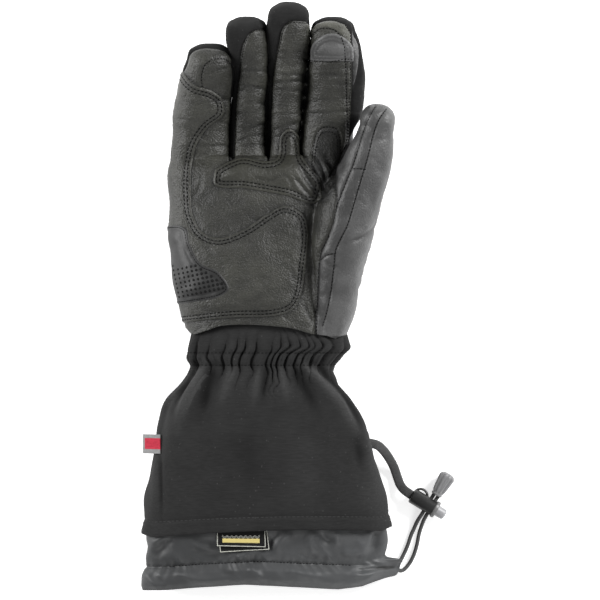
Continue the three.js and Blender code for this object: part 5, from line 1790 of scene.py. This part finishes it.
# Painted light and shade on the cuff: darker on the little-finger side and lighter on the thumb side, lighter
# on its crests, and painted shade, nearly black, in the channel's mouth at the eyelet.
cuff_light_places, cuff_light_levels = metres([-80, -50, -20, 20, 60, 80]), [0.9, 0.85, 0.9, 1.1, 1.35, 1.2]
cuff_painted_light = np.interp(cuff_places[:, 0], cuff_light_places, cuff_light_levels)
cuff_painted_light *= 1 + 0.15 * np.clip(cuff_rise / 0.0015, -1, 1)
cuff_painted_light *= 1 - 0.93 * (1 - eased(in_eyelet, 0.55, 1))
cuff = sleeve(
    "inner_cuff_nylon", drawn_corner(cuff_places + cuff_outwards * cuff_rise[:, None]),
    drawn_corner(cuff_inner + cuff_inner_outwards * cuff_rise[:, None]), cuff_nylon, cuff_painted_light,
)
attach(cuff, "glove")
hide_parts("inner_cuff")
sew("channel_stitches", laid_on([cuff], channel_line[1:-1]), 0.0021, 0.0016, 0.0004)

# Labels: two woven labels with cut, overlocked edges. Both hang out from under the hem over
# the cuff; the upper one carries a plain bar and a zigzag line.
label_thick, label_height = 0.0006, 0.0348
label_corners = {  # in mm: upper left, upper right, lower left, lower right, fall below the upper one
    "label_upper": ((-31.3, -142.5), (-1.0, -142), (-31.4, -154.7), (-0.6, -155.5), 0),
    "label_under": ((-31, -142.5), (0, -142), (-29.4, -158.9), (1.7, -157.1), 0.9),
}
label_slope = 0.19
label_weave = woven_material("label_weave", 20, 0.75, 0.0)
bar_thread, _, _ = new_material("bar_thread", colour(168, (22, 6, -62)), 0.6)
pale_thread, _, _ = new_material("label_edge_thread", colour(165, (0, 0, -8)), 0.7)
label_columns, label_lines = 64, 30


def label_place(name, across, down):
    """A place on a label's upper face, at shares across and down it."""
    upper_left, upper_right, lower_left, lower_right, fall = (
        metres(value) for value in label_corners[name]
    )
    top = upper_left * (1 - across) + upper_right * across
    bottom = lower_left * (1 - across) + lower_right * across
    plan_place = top * (1 - down) + bottom * down
    wave = 0.0005 * math.sin(5 * across + 1 + fall * 900) * down + 0.0004 * math.sin(2.2 * across) * down
    height = label_height - fall + math.tan(label_slope) * (plan_place[1] - hem_y) + wave
    return np.array([*plan_place, height])


def grid_faces(columns, lines):
    """Faces between the points of a grid, which are numbered along its columns first."""
    row = columns + 1
    return [
        [v * row + u, (v + 1) * row + u, (v + 1) * row + u + 1, v * row + u + 1]
        for v in range(lines) for u in range(columns)
    ]


def make_label(name, node):
    """A label with its overlocked edge."""
    upper = np.array([
        label_place(name, u / label_columns, v / label_lines)
        for v in range(label_lines + 1) for u in range(label_columns + 1)
    ])
    lower = upper - (0, 0, label_thick)
    shape = (grid_faces(label_columns, label_lines), {})
    piece = shell(name, shape, upper, lower, label_weave, [("shade", np.ones(len(upper)))])
    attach(piece, "glove")
    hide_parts(node)
    edge = [label_place(name, 0.012, v) for v in np.linspace(0.2, 0.975, 20)]
    edge += [label_place(name, u, 0.975) for u in np.linspace(0.02, 0.98, 40)]
    edge += [label_place(name, 0.988, v) for v in np.linspace(0.97, 0.2, 20)]
    sew(name + "_edge", [np.array(edge) + (0, 0, 0.00005)], 0.0008, 0.0011, 0.0006, pale_thread)
    return piece


upper_label = make_label("label_upper", "label_front")
under_label = make_label("label_under", "label_back")
bar_columns, bar_lines, bar_rise, bar_thick = 59, 4, 0.00018, 0.0003
bar_top = np.array([
    label_place("label_upper", u, v) + (0, 0, bar_rise)
    for v in np.linspace(0.6, 0.81, bar_lines + 1) for u in np.linspace(0.115, 0.875, bar_columns + 1)
])
bar = shell(
    "label_bar", (grid_faces(bar_columns, bar_lines), {}), bar_top, bar_top - (0, 0, bar_thick), bar_thread
)
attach(bar, "glove")
zigzags = []
for shift in (0, 0.06):
    turns = [(0.115 + 0.0475 * k, 0.44 + shift + 0.09 * (k % 2)) for k in range(17)]
    line = np.array([label_place("label_upper", u, v) for u, v in turns]) + (0, 0, 0.0001)
    zigzags.append(spaced(line, 0.0003))
sew("label_zigzag", zigzags, 0.0007, 0.0009, 0.00032, pale_thread)

# Side tag: a small folded ribbon tag that is caught in the seam on the little-finger side, with
# a plain red band woven into it.
tag_corner, tag_size, tag_thick = metres((-78.2, -84.8)), metres((11.4, 12)), 0.0011
tag_fall, tag_columns, tag_lines = 0.55, 26, 26
gauntlet_tree = BVHTree.FromObject(gauntlet, bpy.context.evaluated_depsgraph_get())
tag_levels = []
for column in range(tag_columns, -1, -1):
    place = tag_corner + tag_size * (column / tag_columns, -0.5)
    hit = gauntlet_tree.ray_cast((*place, ray_height), (0, 0, -1))[0]
    before = tag_levels[-1] if tag_levels else None
    lowest = -1 if before is None else before - tag_fall * tag_size[0] / tag_columns
    tag_levels.append(max(hit.z + tag_thick + 0.0006 if hit else -1, lowest))
tag_levels = tag_levels[::-1]
tag_ribbon = woven_material("tag_ribbon", 128, 0.7, 0.0)
tag_red = woven_material("tag_band", 105, 0.7, 0.0, (66, -60, -42))
tag_round = [1 - math.sqrt(min(1, (u + 0.4) / 2.5)) for u in range(tag_columns + 1)]
tag_wave = 0.0002
tag_upper = np.array([
    (tag_corner[0] + tag_size[0] * u / tag_columns, tag_corner[1] - tag_size[1] * v / tag_lines,
     tag_levels[u] + tag_wave * math.sin(7 * v / tag_lines) - tag_thick / 2 * tag_round[u])
    for v in range(tag_lines + 1) for u in range(tag_columns + 1)
])
tag_lower = tag_upper.copy()
tag_lower[:, 2] -= tag_thick * (1 - np.tile(tag_round, tag_lines + 1))
tag = shell(
    "side_tag_folded", (grid_faces(tag_columns, tag_lines), {}), tag_upper, tag_lower, tag_ribbon,
    [("shade", np.ones(len(tag_upper)))],
)
tag.data.materials.append(tag_red)
for face in tag.data.polygons:
    share = (tag_corner[1] - face.center.y) / tag_size[1]
    face.material_index = int(0.2 < share < 0.78 and face.center.x > tag_corner[0] + 0.0012)
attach(tag, "glove")
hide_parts("side_tag")
